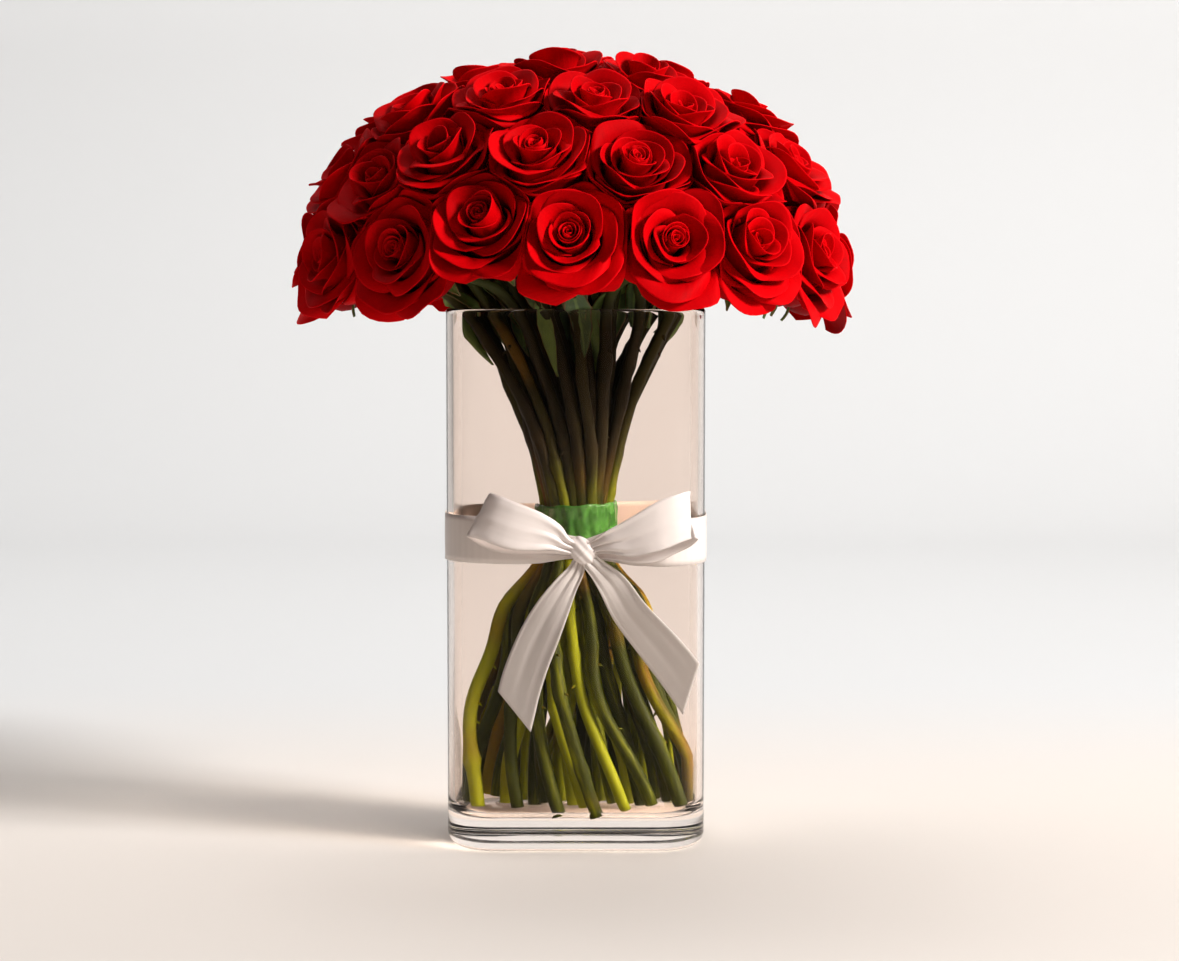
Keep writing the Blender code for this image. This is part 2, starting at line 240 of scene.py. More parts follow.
def turned_skin(rings: Array, tone: float = 0.0) -> Surface:
    """A closed skin over a stack of closed rings, with a fan to a middle point at each end.

    Args:
        rings: the rings from one end to the other, (rings, round, 3), each counter-clockwise seen from the
            side that the stack runs towards.
        tone: the skin's tone.

    Returns:
        The skin; its map runs round the rings and along the stack.
    """
    count, turns = rings.shape[:2]
    index = np.arange(count * turns).reshape(count, turns)
    after = np.roll(index, -1, axis=1)
    quads = np.stack([index[:-1], after[:-1], after[1:], index[1:]], axis=-1).reshape(-1, 4)
    first, last = count * turns, count * turns + 1
    fans = [np.stack([after[0], index[0], np.full(turns, first)], axis=-1)]
    fans.append(np.stack([index[-1], after[-1], np.full(turns, last)], axis=-1))
    points = np.concatenate([rings.reshape(-1, 3), rings[:1].mean(axis=1), rings[-1:].mean(axis=1)])
    u, v = np.meshgrid(np.arange(turns) / turns, np.linspace(0, 1, count))
    uv = np.concatenate([np.stack([u, v], axis=-1).reshape(-1, 2), [[0.5, 0.0], [0.5, 1.0]]])
    return Surface(points, quads, np.concatenate(fans), uv, np.full(len(points), tone))


def tube(path: Array, radius: Array, sides: int, upright: Array, tone: float = 0.0) -> Surface:
    """A closed round tube: at each point of the path a circle stands square to it.

    Args:
        path: the middle line, (n, 3).
        radius: the radius at each of its points.
        sides: points round the tube.
        upright: a direction that the path never runs along, which fixes where each circle starts.
        tone: the tube's tone.

    Returns:
        The tube's skin.
    """
    run = unit(np.gradient(path, axis=0))
    side = unit(np.cross(np.broadcast_to(upright, run.shape), run))
    up = np.cross(run, side)
    angle = np.arange(sides) / sides * 2 * math.pi
    spoke = np.cos(angle)[None, :, None] * side[:, None] + np.sin(angle)[None, :, None] * up[:, None]
    return turned_skin(path[:, None] + radius[:, None, None] * spoke, tone)


# ---------------------------------------------------------------- shader helpers


class Wire:
    """A number on its way through a node tree: Python's operators add Math nodes to it."""

    def __init__(self, shader: Shader, socket: bpy.types.NodeSocket) -> None:
        """Keeps the shader that the socket belongs to, and the socket."""
        self.shader = shader
        self.socket = socket

    def _math(self, operation: str, *values: Value) -> Wire:
        """One Math node on these values, in order."""
        made = self.shader.node("ShaderNodeMath", {"operation": operation}, dict(enumerate(values)))
        return Wire(self.shader, made.outputs[0])

    def __add__(self, other: Value) -> Wire:
        """The sum."""
        return self._math("ADD", self, other)

    def __sub__(self, other: Value) -> Wire:
        """The difference."""
        return self._math("SUBTRACT", self, other)

    def __rsub__(self, other: Value) -> Wire:
        """The difference, with this number taken away."""
        return self._math("SUBTRACT", other, self)

    def __mul__(self, other: Value) -> Wire:
        """The product."""
        return self._math("MULTIPLY", self, other)

    __radd__ = __add__
    __rmul__ = __mul__

    def step(self, low: float, high: float) -> Wire:
        """A soft step from 0 at low to 1 at high, as smooth makes.

        Args:
            low: where the step starts.
            high: where it ends.

        Returns:
            The stepped number.
        """
        settings = {"interpolation_type": "SMOOTHSTEP"}
        inputs = {"Value": self, "From Min": low, "From Max": high}
        return Wire(self.shader, self.shader.node("ShaderNodeMapRange", settings, inputs).outputs["Result"])


Value = Union[Wire, float]
Colour = tuple[float, float, float]


class Shader:
    """One material's node tree, around its Principled shader."""

    def __init__(self, name: str) -> None:
        """Makes the material, with only the Principled shader and its output."""
        self.material = bpy.data.materials.new(name)
        self.material.use_nodes = True
        self.tree = self.material.node_tree
        self.surface = self.tree.nodes["Principled BSDF"]
        self.output = self.tree.nodes["Material Output"]

    def node(self, kind: str, settings: dict | None = None, inputs: dict | None = None) -> bpy.types.Node:
        """Adds any node.

        Args:
            kind: the node's type.
            settings: its properties, set first.
            inputs: values or links for its sockets, by name or number.

        Returns:
            The node.
        """
        made = self.tree.nodes.new(kind)
        for name, value in (settings or {}).items():
            setattr(made, name, value)
        for name, value in (inputs or {}).items():
            self.feed(made.inputs[name], value)
        return made

    def feed(self, socket: bpy.types.NodeSocket, value: object) -> None:
        """Links a wire or a socket to this socket, or sets its value.

        Args:
            socket: the socket to feed.
            value: a wire, a socket, a colour or a plain value.
        """
        if isinstance(value, Wire):
            self.tree.links.new(value.socket, socket)
        elif isinstance(value, bpy.types.NodeSocket):
            self.tree.links.new(value, socket)
        elif isinstance(value, tuple) and len(value) == 3 and socket.type == "RGBA":
            socket.default_value = (*value, 1.0)
        else:
            socket.default_value = value

    def set(self, **values: object) -> None:
        """Sets or links the Principled shader's sockets; an underscore stands for a space."""
        for name, value in values.items():
            self.feed(self.surface.inputs[name.replace("_", " ")], value)

    def place(self) -> bpy.types.NodeSocket:
        """The point's place in the frame."""
        return self.node("ShaderNodeTexCoord").outputs["Object"]

    def map(self) -> bpy.types.NodeSocket:
        """The point's place on the surface's own map."""
        return self.node("ShaderNodeUVMap", {"uv_map": "UVMap"}).outputs["UV"]

    def split(self, vector: bpy.types.NodeSocket) -> tuple[Wire, Wire, Wire]:
        """The three numbers of a vector."""
        made = self.node("ShaderNodeSeparateXYZ", None, {0: vector})
        return Wire(self, made.outputs[0]), Wire(self, made.outputs[1]), Wire(self, made.outputs[2])

    def vector(self, x: Value, y: Value, z: Value = 0.0) -> bpy.types.NodeSocket:
        """A vector from three numbers."""
        return self.node("ShaderNodeCombineXYZ", None, {0: x, 1: y, 2: z}).outputs[0]

    def tone(self) -> Wire:
        """The tone stored at each point."""
        return Wire(self, self.node("ShaderNodeAttribute", {"attribute_name": "tone"}).outputs["Fac"])

    def noise(
        self, where: bpy.types.NodeSocket, scale: float, detail: float = 3.0, rough: float = 0.55
    ) -> Wire:
        """Soft noise from 0 to 1 at a place."""
        inputs = {"Vector": where, "Scale": scale, "Detail": detail, "Roughness": rough}
        return Wire(self, self.node("ShaderNodeTexNoise", None, inputs).outputs[0])

    def mix(self, share: Value, first: object, second: object) -> bpy.types.NodeSocket:
        """Two colours mixed.

        Args:
            share: how much of the second.
            first: a colour or a colour socket.
            second: a colour or a colour socket.

        Returns:
            The mixed colour's socket.
        """
        inputs = {0: share, 6: first, 7: second}
        return self.node("ShaderNodeMix", {"data_type": "RGBA"}, inputs).outputs[2]

    def bump(self, height: Wire, strength: float, distance: float) -> None:
        """Raises the surface by a height, in the normal only."""
        inputs = {"Strength": strength, "Distance": distance, "Height": height}
        self.set(Normal=self.node("ShaderNodeBump", None, inputs).outputs[0])


# ---------------------------------------------------------------- finishes


@dataclass(frozen=True)
class PetalVelvet:
    """Deep red velvet petal: brighter towards the rim by a painted highlight, darker towards the heart by
    painted shade, with fine veins.
    """

    # deep is the dark red for the random tone and for the painted shade towards the heart; rim is a painted
    # highlight on the top edge.
    deep: Colour = (0.15, 0.000, 0.001)
    bright: Colour = (0.64, 0.000, 0.002)
    rim: Colour = (0.78, 0.001, 0.004)

    def material(self) -> bpy.types.Material:
        """Makes the petals' material.

        Returns:
            The material.
        """
        made = Shader("rose_petal_velvet")
        across, along, _ = made.split(made.map())
        tone = made.tone()
        veins = made.noise(made.vector(across * 26.0, along * 3.0, tone * 40.0), 1.0, 4.0)
        cloud = made.noise(made.place(), 45.0, 2.0)
        # Painted shade: the colour darkens from the tip towards the heart, besides its random tone, cloud and
        # veins.
        share = along.step(0.10, 0.80) * 0.6 + tone * 0.35 + (cloud - 0.5) * 0.5 + (veins - 0.5) * 0.3
        body = made.mix(share.step(0.0, 1.0), self.deep, self.bright)
        # Painted highlight: the top tenth of each petal is mixed halfway to the rim colour.
        colour = made.mix(along.step(0.90, 1.0) * 0.5, body, self.rim)
        made.set(
            Base_Color=colour,
            Roughness=veins * 0.18 + 0.50,
            Sheen_Weight=0.04,
            Sheen_Roughness=0.4,
            Sheen_Tint=(1.0, 0.04, 0.04),
            Specular_IOR_Level=0.02,
        )
        made.bump(veins, 0.30, 0.0006)
        return made.material


@dataclass(frozen=True)
class StemRind:
    """Rose stem rind: yellow-green, olive and rust along each stem, dark brown above the tie, partly its own
    colour and partly painted shade under the blooms.
    """

    fresh: Colour = (0.27, 0.29, 0.006)
    olive: Colour = (0.032, 0.038, 0.002)
    rust: Colour = (0.24, 0.105, 0.005)
    bark_and_shade: Colour = (0.030, 0.020, 0.008)
    neck: Colour = (0.040, 0.052, 0.010)

    def material(self) -> bpy.types.Material:
        """Makes the stems' material.

        Returns:
            The material.
        """
        made = Shader("rose_stem_rind")
        _, _, height = made.split(made.place())
        across, along, _ = made.split(made.map())
        tone = made.tone()
        streak = made.noise(made.vector(across * 4.0, along * 7.0, tone * 60.0), 1.0, 4.0, 0.6)
        patch = made.noise(made.vector(tone * 50.0, along * 3.2), 1.0, 2.0)
        speck = made.noise(made.vector(across * 14.0, along * 160.0, tone * 30.0), 1.0, 3.0, 0.7)
        green = made.mix((tone + (streak - 0.5) * 1.3).step(0.28, 0.85), self.olive, self.fresh)
        brown = made.mix(patch.step(0.55, 0.68) * 0.85, green, self.rust)
        worn = made.mix(speck.step(0.60, 0.80) * 0.55, brown, self.bark_and_shade)
        # Above the tie the rind turns dark brown: partly a darker rind and partly painted shade under the
        # blooms; rust patches keep half their colour.
        darker_and_shaded_above_tie = height.step(0.175, 0.235) * (1.0 - patch.step(0.60, 0.72) * 0.5)
        upper = made.mix(darker_and_shaded_above_tie * 0.92, worn, self.bark_and_shade)
        colour = made.mix(height.step(0.295, 0.340) * 0.8, upper, self.neck)
        made.set(Base_Color=colour, Roughness=speck * 0.25 + 0.42, Specular_IOR_Level=0.12)
        made.bump(speck * 0.6 + streak * 0.4, 0.5, 0.0005)
        return made.material


@dataclass(frozen=True)
class LeafSkin:
    """Sepals and leaves: mid green with a paler vein down the middle and a reddish edge."""

    dark: Colour = (0.045, 0.085, 0.018)
    light: Colour = (0.17, 0.27, 0.05)
    edge: Colour = (0.22, 0.05, 0.02)

    def material(self) -> bpy.types.Material:
        """Makes the sepals' and leaves' material.

        Returns:
            The material.
        """
        made = Shader("rose_leaf_skin")
        across, along, _ = made.split(made.map())
        tone = made.tone()
        off = (across - 0.5) * (across - 0.5) * 4.0
        cloud = made.noise(made.place(), 160.0, 4.0)
        veins = made.noise(made.vector(off * 6.0 - along * 14.0, tone * 20.0), 1.0, 2.0)
        share = (tone * 0.6 + cloud * 0.6 + (veins - 0.5) * 0.5).step(0.2, 0.95)
        body = made.mix(share, self.dark, self.light)
        ribbed = made.mix((1.0 - off.step(0.0, 0.03)) * 0.5, body, self.light)
        colour = made.mix(off.step(0.75, 1.0) * 0.6, ribbed, self.edge)
        made.set(Base_Color=colour, Roughness=cloud * 0.2 + 0.4)
        made.bump(veins * 0.7 + cloud * 0.3, 0.4, 0.0005)
        return made.material


@dataclass(frozen=True)
class ClearGlass:
    """Clear glass with a breath of warm grey and faint reflections; light passes it without a dark shadow."""

    tint: Colour = (0.970, 0.880, 0.822)
    shadow: Colour = (0.94, 0.92, 0.90)
    gleam: Colour = (0.12, 0.12, 0.12)
    bend: float = 1.5

    def material(self) -> bpy.types.Material:
        """Makes the vase's material.

        Returns:
            The material.
        """
        made = Shader("clear_glass")
        made.set(Base_Color=self.tint, Roughness=0.0, IOR=self.bend, Transmission_Weight=1.0)
        made.set(Specular_Tint=self.gleam)
        ray = made.node("ShaderNodeLightPath").outputs["Is Shadow Ray"]
        clear = made.node("ShaderNodeBsdfTransparent", None, {"Color": self.shadow}).outputs[0]
        both = made.node("ShaderNodeMixShader", None, {0: ray, 1: made.surface.outputs[0], 2: clear})
        made.tree.links.new(both.outputs[0], made.output.inputs["Surface"])
        return made.material


@dataclass(frozen=True)
class SatinWeave:
    """Warm white satin: fine threads along the ribbon, a soft shine across them, and two bound edges.

    The tone of a piece is painted light and shade: from a painted shade, on the hanging ends, to lit, on the
    loops.
    """

    light: Colour = (0.93, 0.83, 0.78)
    shaded_satin: Colour = (0.78, 0.69, 0.63)
    thread: Colour = (0.60, 0.51, 0.46)

    def material(self) -> bpy.types.Material:
        """Makes the ribbon's material.

        Returns:
            The material.
        """
        made = Shader("satin_ribbon")
        across, along, _ = made.split(made.map())
        bands = {"Vector": made.vector(across, along), "Scale": 18.0}
        wave = Wire(made, made.node("ShaderNodeTexWave", {"bands_direction": "X"}, bands).outputs["Fac"])
        cloud = made.noise(made.place(), 60.0, 3.0)
        off = (across - 0.5) * (across - 0.5) * 4.0
        edge = off.step(0.88, 0.93)
        # Painted light and shade: the tone mixes the shaded satin, for hanging ends, with the lit colour, for
        # loops.
        plain = made.mix(made.tone(), self.shaded_satin, self.light)
        body = made.mix((wave * 0.25 + cloud * 0.5) * 0.4, plain, self.thread)
        made.set(
            Base_Color=made.mix(edge * 0.25, body, self.thread),
            Roughness=cloud * 0.12 + 0.28,
            Sheen_Weight=0.4,
            Sheen_Roughness=0.3,
            Anisotropic=0.5,
            Specular_IOR_Level=0.6,
        )
        made.bump(wave * 0.5 + edge, 0.25, 0.0002)
        return made.material


@dataclass(frozen=True)
class FloralTape:
    """Stretched green tape: glossy, with the turns' edges and small creases, painted darker in the creases'
    hollows.
    """

    light: Colour = (0.085, 0.27, 0.040)
    dark: Colour = (0.022, 0.095, 0.014)

    def material(self) -> bpy.types.Material:
        """Makes the binding tape's material.

        Returns:
            The material.
        """
        made = Shader("binding_tape_gloss")
        across, along, _ = made.split(made.map())
        crease = made.noise(made.vector(across * 60.0, along * 4.0), 1.0, 4.0)
        cloud = made.noise(made.place(), 110.0, 3.0)
        # Painted shade: the colour is darker where the crease bump is low and lighter on its ridges, with
        # some random cloud.
        made.set(
            Base_Color=made.mix((crease * 0.7 + cloud * 0.4).step(0.3, 0.8), self.dark, self.light),
            Roughness=cloud * 0.2 + 0.16,
            Coat_Weight=crease * 0.4 + 0.2,
        )
        made.bump(crease, 0.5, 0.0006)
        return made.material


@dataclass(frozen=True)
class StudioPaper:
    """Plain pale paper: warm on the floor by the vase, white behind it and greyer far out to the sides by
    painted shade.
    """

    white: Colour = (0.69, 0.69, 0.69)
    warm: Colour = (0.76, 0.695, 0.64)
    mottle: Colour = (0.45, 0.44, 0.43)
    far: Colour = (0.55, 0.54, 0.53)

    def material(self) -> bpy.types.Material:
        """Makes the studio's material.

        Returns:
            The material.
        """
        made = Shader("studio_paper")
        place = made.place()
        side, depth, _ = made.split(place)
        cloud = made.noise(place, 1.4, 3.0)
        paper = made.mix(depth.step(0.05, 0.60), self.warm, self.white)
        mottled = made.mix(cloud * 0.06, paper, self.mottle)
        # Painted shade: the paper greys far out to the sides, so the glass's edges show darker surroundings.
        colour = made.mix((side * side).step(1.0, 4.0), mottled, self.far)
        made.set(Base_Color=colour, Roughness=cloud * 0.1 + 0.7, Specular_IOR_Level=0.2)
        return made.material


# ---------------------------------------------------------------- the plan of the bunch


@dataclass
class BunchPlan:
    """Where each rose stands: its place in the tied waist, its bloom on the dome and its stem's route.

    The stems lie in close-packed rows at the waist. The same rows, turned by the spiral and spread by equal
    areas over an ellipsoid, give the blooms. The nearest blooms are then moved to the places in front, where
    they give way only a little, and all push each other apart until few are crowded.
    """

    rows: tuple[int, ...] = (5, 6, 7, 8, 7, 6, 5)
    stem_pitch: float = 0.0050
    row_pitch: float = 0.00578
    splay: float = math.radians(-70)
    cut_ends: float = 0.0205
    cut_step: float = 0.0012
    waist: tuple[float, float] = (0.170, 0.199)
    spread: Array = field(default_factory=lambda: np.array([3.7, 2.25]))
    foot_ease: float = -0.75
    rim_ease: float = 0.55
    room: Array = field(default_factory=lambda: np.array([0.0655, 0.0405]))
    rim_pass: float = 0.312
    dome: Array = field(default_factory=lambda: np.array([0.164, 0.148, 0.128]))
    centre: Array = field(default_factory=lambda: np.array([0.0, 0.0, 0.337]))
    lowest_side: float = 0.345
    lowest_front: float = 0.362
    dome_turn: float = math.radians(-6)
    spacing: float = 0.061
    uneven: float = 0.006
    seed: int = 11
    pushes: int = 120
    give: float = 0.25
    lift: float = 0.16
    bloom_length: float = 0.054
    neck_straight: float = 0.006
    held: float = 0.04
    front: tuple[tuple[float, float], ...] = (
        (0.053, 0.3625),
        (-0.006, 0.3690),
        (-0.053, 0.3790),
        (-0.104, 0.3670),
        (0.108, 0.3570),
        (0.146, 0.3580),
        (-0.148, 0.3580),
        (-0.017, 0.4140),
        (0.038, 0.4070),
        (0.090, 0.4020),
        (-0.079, 0.4090),
        (0.062, 0.4290),
        (0.012, 0.4350),
        (-0.042, 0.4370),
        (-0.137, 0.3930),
        (0.134, 0.4000),
    )
    gap: float = 0.0003

    def __post_init__(self) -> None:
        """Works out the slots, tips, axes, bases, hearts and routes once."""
        depth = np.concatenate([np.full(n, k - (len(self.rows) - 1) / 2) for k, n in enumerate(self.rows)])
        across = np.concatenate([np.arange(n) - (n - 1) / 2 for n in self.rows])
        self.row = np.concatenate([np.full(n, k) for k, n in enumerate(self.rows)])
        self.slots = np.stack([across * self.stem_pitch, depth * self.row_pitch], axis=1)
        self.tips = self._tips()
        normal = unit((self.tips - self.centre) / self.dome**2)
        self.axes = unit(normal + np.array([0.0, 0.0, self.lift]))
        self.bases = self.tips - self.axes * self.bloom_length
        self.hearts = self.bases + self.axes * self.bloom_length * 0.7
        self.order = np.argsort(-self.tips[:, 2], kind="stable")
        self.routes = self._routes()

    def _on_dome(self, way: Array) -> Array:
        """Points of the dome for directions from its centre, none lower than the dome's edge.

        The edge's height goes from that in front to that at the sides by the square of the direction's X.

        Args:
            way: the directions, (n, 3).

        Returns:
            The points, (n, 3).
        """
        way = unit(way)
        flat = np.maximum(np.linalg.norm(way[:, :2], axis=1), 1e-9)
        edge = self.lowest_front + (self.lowest_side - self.lowest_front) * (way[:, 0] / flat) ** 2
        rise = np.maximum(way[:, 2], (edge - self.centre[2]) / self.dome[2])
        flattened = way[:, :2] * (np.sqrt(1 - rise**2) / flat)[:, None]
        return self.centre + np.concatenate([flattened, rise[:, None]], axis=1) * self.dome

    def _tips(self) -> Array:
        """The outermost point of each bloom: the front ones set, then all evened out by small pushes.

        Returns:
            The points, (stems, 3).
        """
        share = np.linalg.norm(self.slots, axis=1)
        share = share / share.max()
        lean = np.arccos(1 - share**2 * (1 - (self.lowest_front - self.centre[2]) / self.dome[2]))
        turn = np.arctan2(self.slots[:, 1], self.slots[:, 0]) + self.splay / 2 + self.dome_turn
        way = [np.sin(lean) * np.cos(turn), np.sin(lean) * np.sin(turn), np.cos(lean)]
        tips = self._on_dome(np.stack(way, axis=1))
        tips = tips + np.random.default_rng(self.seed).normal(0.0, self.uneven, tips.shape)
        give = np.full((len(tips), 1), self.give)
        for x, z in self.front:
            depth = 1 - (x / self.dome[0]) ** 2 - ((z - self.centre[2]) / self.dome[2]) ** 2
            place = np.array([x, -self.dome[1] * math.sqrt(max(depth, 0.0)), z])
            nearest = np.argmin(np.linalg.norm(tips - place, axis=1) + (give[:, 0] < self.give))
            tips[nearest], give[nearest] = place, self.give * self.held
        for _ in range(self.pushes):
            away = tips[:, None] - tips[None]
            far = np.linalg.norm(away, axis=2) + np.eye(len(tips))
            push = np.clip(self.spacing - far, 0, None) * (1 - np.eye(len(tips)))
            tips = tips + give * (away / far[..., None] * push[..., None]).sum(axis=1)
            tips = self._on_dome((tips - self.centre) / self.dome)
        return tips

    def _spread(self, height: Array) -> Array:
        """Each stem's slot in the waist at another height: turned by the spiral, then spread.

        Args:
            height: each stem's own height, none above the rim.

        Returns:
            The points, (stems, 3).
        """
        low = height < self.waist[0]
        above = np.maximum(height - self.waist[1], 0.0) / (self.rim_pass - self.waist[1])
        part = np.where(low, (self.waist[0] - height) / (self.waist[0] - self.cut_ends), above)
        ease = np.where(low, self.foot_ease, self.rim_ease)
        turn = (height - sum(self.waist) / 2) / (self.rim_pass - self.cut_ends) * self.splay
        x, y = self.slots.T
        turned = [x * np.cos(turn) - y * np.sin(turn), x * np.sin(turn) + y * np.cos(turn)]
        flat = np.stack(turned, axis=1)
        flat = flat * (1 + (self.spread - 1) * (part * (1 - ease + ease * part))[:, None])
        fullness = np.sum((flat / self.room) ** 4, axis=1) ** 0.25
        return np.column_stack([flat / np.maximum(fullness, 1.0)[:, None], height])

    def _routes(self) -> Array:
        """Every stem's points from its cut end to its bloom.

        Above the rim they lie on a cubic Hermite curve from the way the stem leaves to the bloom's axis.

        Returns:
            The points, (stems, points, 3).
        """
        count = len(self.slots)
        first = self.cut_ends + self.cut_step * (np.arange(count) * 7 % 5)
        heights = (0.060, 0.100, 0.138, *self.waist, 0.226, 0.256, 0.286, self.rim_pass)
        lower = [self._spread(first)] + [self._spread(np.full(count, h)) for h in heights]
        leave = unit(lower[-1] - lower[-2])
        ends = self.bases - self.axes * (self.gap + self.neck_straight)
        reach = np.linalg.norm(ends - lower[-1], axis=1, keepdims=True)
        upper = [
            (2 * t**3 - 3 * t**2 + 1) * lower[-1]
            + (t**3 - 2 * t**2 + t) * reach * leave
            + (3 * t**2 - 2 * t**3) * ends
            + (t**3 - t**2) * reach * self.axes
            for t in (0.35, 0.7, 1.0)
        ]
        return np.stack(lower + upper + [self.bases - self.axes * self.gap], axis=1)

    def neighbours(self, i: int) -> Array:
        """The hearts of the blooms near one bloom."""
        away = np.linalg.norm(self.hearts - self.hearts[i], axis=1)
        return self.hearts[(away > 1e-6) & (away < 2.6 * self.bloom_length)]


# ---------------------------------------------------------------- roses


@dataclass
class RoseHead:
    """One bloom: a rolled heart in a cup of petals that open and roll back towards the outside.

    Each pair is a measure of the innermost petal and what the outermost has more: its length, how far it
    reaches from the axis at its widest, its width, and the degrees that its top rolls back.
    """

    number: int
    base: Array
    axis: Array
    heart: Array
    neighbours: Array
    across: int = 17
    along: int = 15
    golden: float = math.radians(137.5)
    petals: tuple[int, int] = (16, 20)
    length: tuple[float, float] = (0.0412, 0.0180)
    reach: tuple[float, float] = (0.0042, 0.0285)
    width: tuple[float, float] = (0.033, 0.050)
    roll: tuple[float, float] = (26.0, 76.0)
    widest: float = 0.56
    heart_tall: float = 0.0395
    heart_turns: int = 3
    petal_thick: float = 0.00045
    press_from: float = 0.0065
    overlap: float = 0.0010
    nod: float = math.radians(5)

    def __post_init__(self) -> None:
        """Seeds this bloom's own irregularities, its frame and how far it has opened."""
        self.random = np.random.default_rng(400 + self.number)
        side, up = square_to(self.axis)
        way = self.random.uniform(0, 2 * math.pi)
        nod = self.nod * self.random.uniform(0.2, 1.0)
        self.axis = unit(self.axis + math.tan(nod) * (math.cos(way) * side + math.sin(way) * up))
        self.side, self.up = square_to(self.axis)
        self.count = int(self.random.integers(*self.petals))
        self.opening = self.random.uniform(0.86, 1.08)
        self.cup = self.random.uniform(0.0, 0.007)

    def _petal_grids(self) -> Array:
        """All petals as grids round the bloom's own axis.

        A petal's middle line leaves the base outwards, turns upright by its widest point and rolls back near
        the tip; its angle from upright is added up along its length. Across, the petal wraps the axis by its
        width over its radius, one edge tucked in and the other out, and its top is rounded. Here out runs
        from 0 at the innermost petal to 1 at the outermost, u across a petal from -1 to 1, and v up it.

        Returns:
            The grids, (petals, across, along, 3).
        """
        count = self.count
        out = (np.arange(count) / (count - 1))[:, None, None]
        u = np.linspace(-1, 1, self.across)[None, :, None]
        u = np.sign(u) * (1 - (1 - np.abs(u)) ** 1.25)
        v = 1 - (1 - np.linspace(0, 1, self.along)) ** 1.5
        v = np.broadcast_to(v[None, None, :], (count, 1, self.along))
        spare = self.random.normal(0.0, 1.0, (7, count, 1, 1))
        cupped = self.cup * 0.6 * np.exp(-(((out - 0.35) / 0.3) ** 2))
        length = (self.length[0] + self.length[1] * out + cupped) * (1 + 0.03 * spare[0])
        top = 1 - (0.13 + 0.08 * out) * np.abs(u) ** 2.4
        start = 0.0015 + 0.0035 * out
        reach = self.reach[0] + self.reach[1] * out**0.92 * self.opening * (1 + 0.035 * spare[1])
        slope = (reach - start) * 1.6 * np.clip(1 - v / self.widest, 0, 1) ** 0.6 / self.widest / length
        angle = np.arcsin(np.clip(slope, -0.9, 0.97))
        angle = angle - math.radians(13) * np.clip(1 - out / 0.5, 0, 1) * smooth(0.40, 1.0, v)
        roll = np.radians(self.roll[0] + self.roll[1] * out**1.2 + 9 * spare[2])
        roll = roll * (0.95 + 0.10 * out * np.abs(u) ** 2)
        angle = angle + roll * smooth(0.74 - 0.15 * out, 1.0, v)
        step = np.diff(v, axis=2, prepend=0.0) * length * top
        r = start + np.cumsum(np.sin(angle) * step, axis=2)
        z = 0.0070 - 0.0035 * out + np.cumsum(np.cos(angle) * step, axis=2)
        width = (self.width[0] + self.width[1] * out**0.8) * (1 + 0.05 * spare[3])
        share = (0.42 + 0.58 * smooth(0.0, 0.55, v)) * (1 - 0.24 * smooth(0.72, 1.05, v))
        half = np.minimum(width * share / (2 * np.maximum(r, 0.0035)), 2.2)
        wave = np.sin(2 * math.pi * (0.9 * u + spare[4]))
        r = r + (0.0004 + 0.0010 * out) * u * v + 0.0008 * out * np.abs(u) ** 3 * v**2
        r = r + 0.0008 * (0.3 + out) * wave * v**3
        z = z + 0.0011 * (0.2 + out) * np.sin(2 * math.pi * (0.8 * u + spare[5])) * v**3
        turn = np.arange(count)[:, None, None] * self.golden + 0.16 * spare[6] + half * u
        return np.stack([r * np.cos(turn), r * np.sin(turn), np.broadcast_to(z, r.shape)], axis=-1)

    def _heart_grid(self) -> Array:
        """The rolled heart: one petal wound a few times, its radius growing evenly with the turn.

        Returns:
            The grid, (1, round, up, 3).
        """
        turn = np.linspace(0.0, 2 * self.heart_turns * math.pi, 60)[:, None]
        v = np.linspace(0.0, 1.0, 10)[None, :]
        growth = turn / turn.max()
        belly = 0.70 + 0.42 * np.sin(math.pi * v * 0.72)
        r = (0.0005 + 0.0050 * growth) * belly + 0.0010 * smooth(0.82, 1.0, v) * growth
        tall = self.heart_tall - self.cup * 0.8 + 0.0015 * growth + 0.0008 * np.sin(2.3 * turn)
        spin = turn + self.random.uniform(0, 2 * math.pi)
        return np.stack([r * np.cos(spin), r * np.sin(spin), 0.007 + tall * v], axis=-1)[None]

    def _placed(self, grids: Array) -> Array:
        """The bloom's own coordinates as places in the frame, pressed flat towards the neighbours.

        A point that comes nearer to the middle plane between two hearts than press_from is slowed, so that
        it passes the plane by no more than overlap and the petals keep their order.

        Args:
            grids: points in the bloom's own coordinates, (..., 3).

        Returns:
            Their places, (..., 3).
        """
        points = self.base + grids @ np.stack([self.side, self.up, self.axis])
        for other in self.neighbours:
            normal = unit(other - self.heart)
            limit = normal @ (self.heart + other) / 2 + self.overlap
            near = points @ normal - (limit - self.press_from)
            slowed = self.press_from * (1 - np.exp(-np.clip(near, 0, None) / self.press_from))
            points = points + (np.where(near > 0, slowed - near, 0.0))[..., None] * normal
        return points

    def build(self, finish: bpy.types.Material) -> bpy.types.Object:
        """The bloom's petals as one piece.

        Args:
            finish: the petals' material.

        Returns:
            The piece, in place of its packed head.
        """
        own = self.random.uniform(0.0, 0.45)
        tones = np.clip(own + self.random.uniform(0.0, 0.55, self.count), 0, 1)
        petals = leaf_shells(self._placed(self._petal_grids()), self.petal_thick, tones)
        heart = leaf_shells(self._placed(self._heart_grid()), self.petal_thick, np.array([own]))
        piece = joined([petals, heart]).piece(f"rose_head_{self.number:02d}", finish)
        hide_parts(f"rose_bloom_{self.number:02d}")
        return dressed(piece)


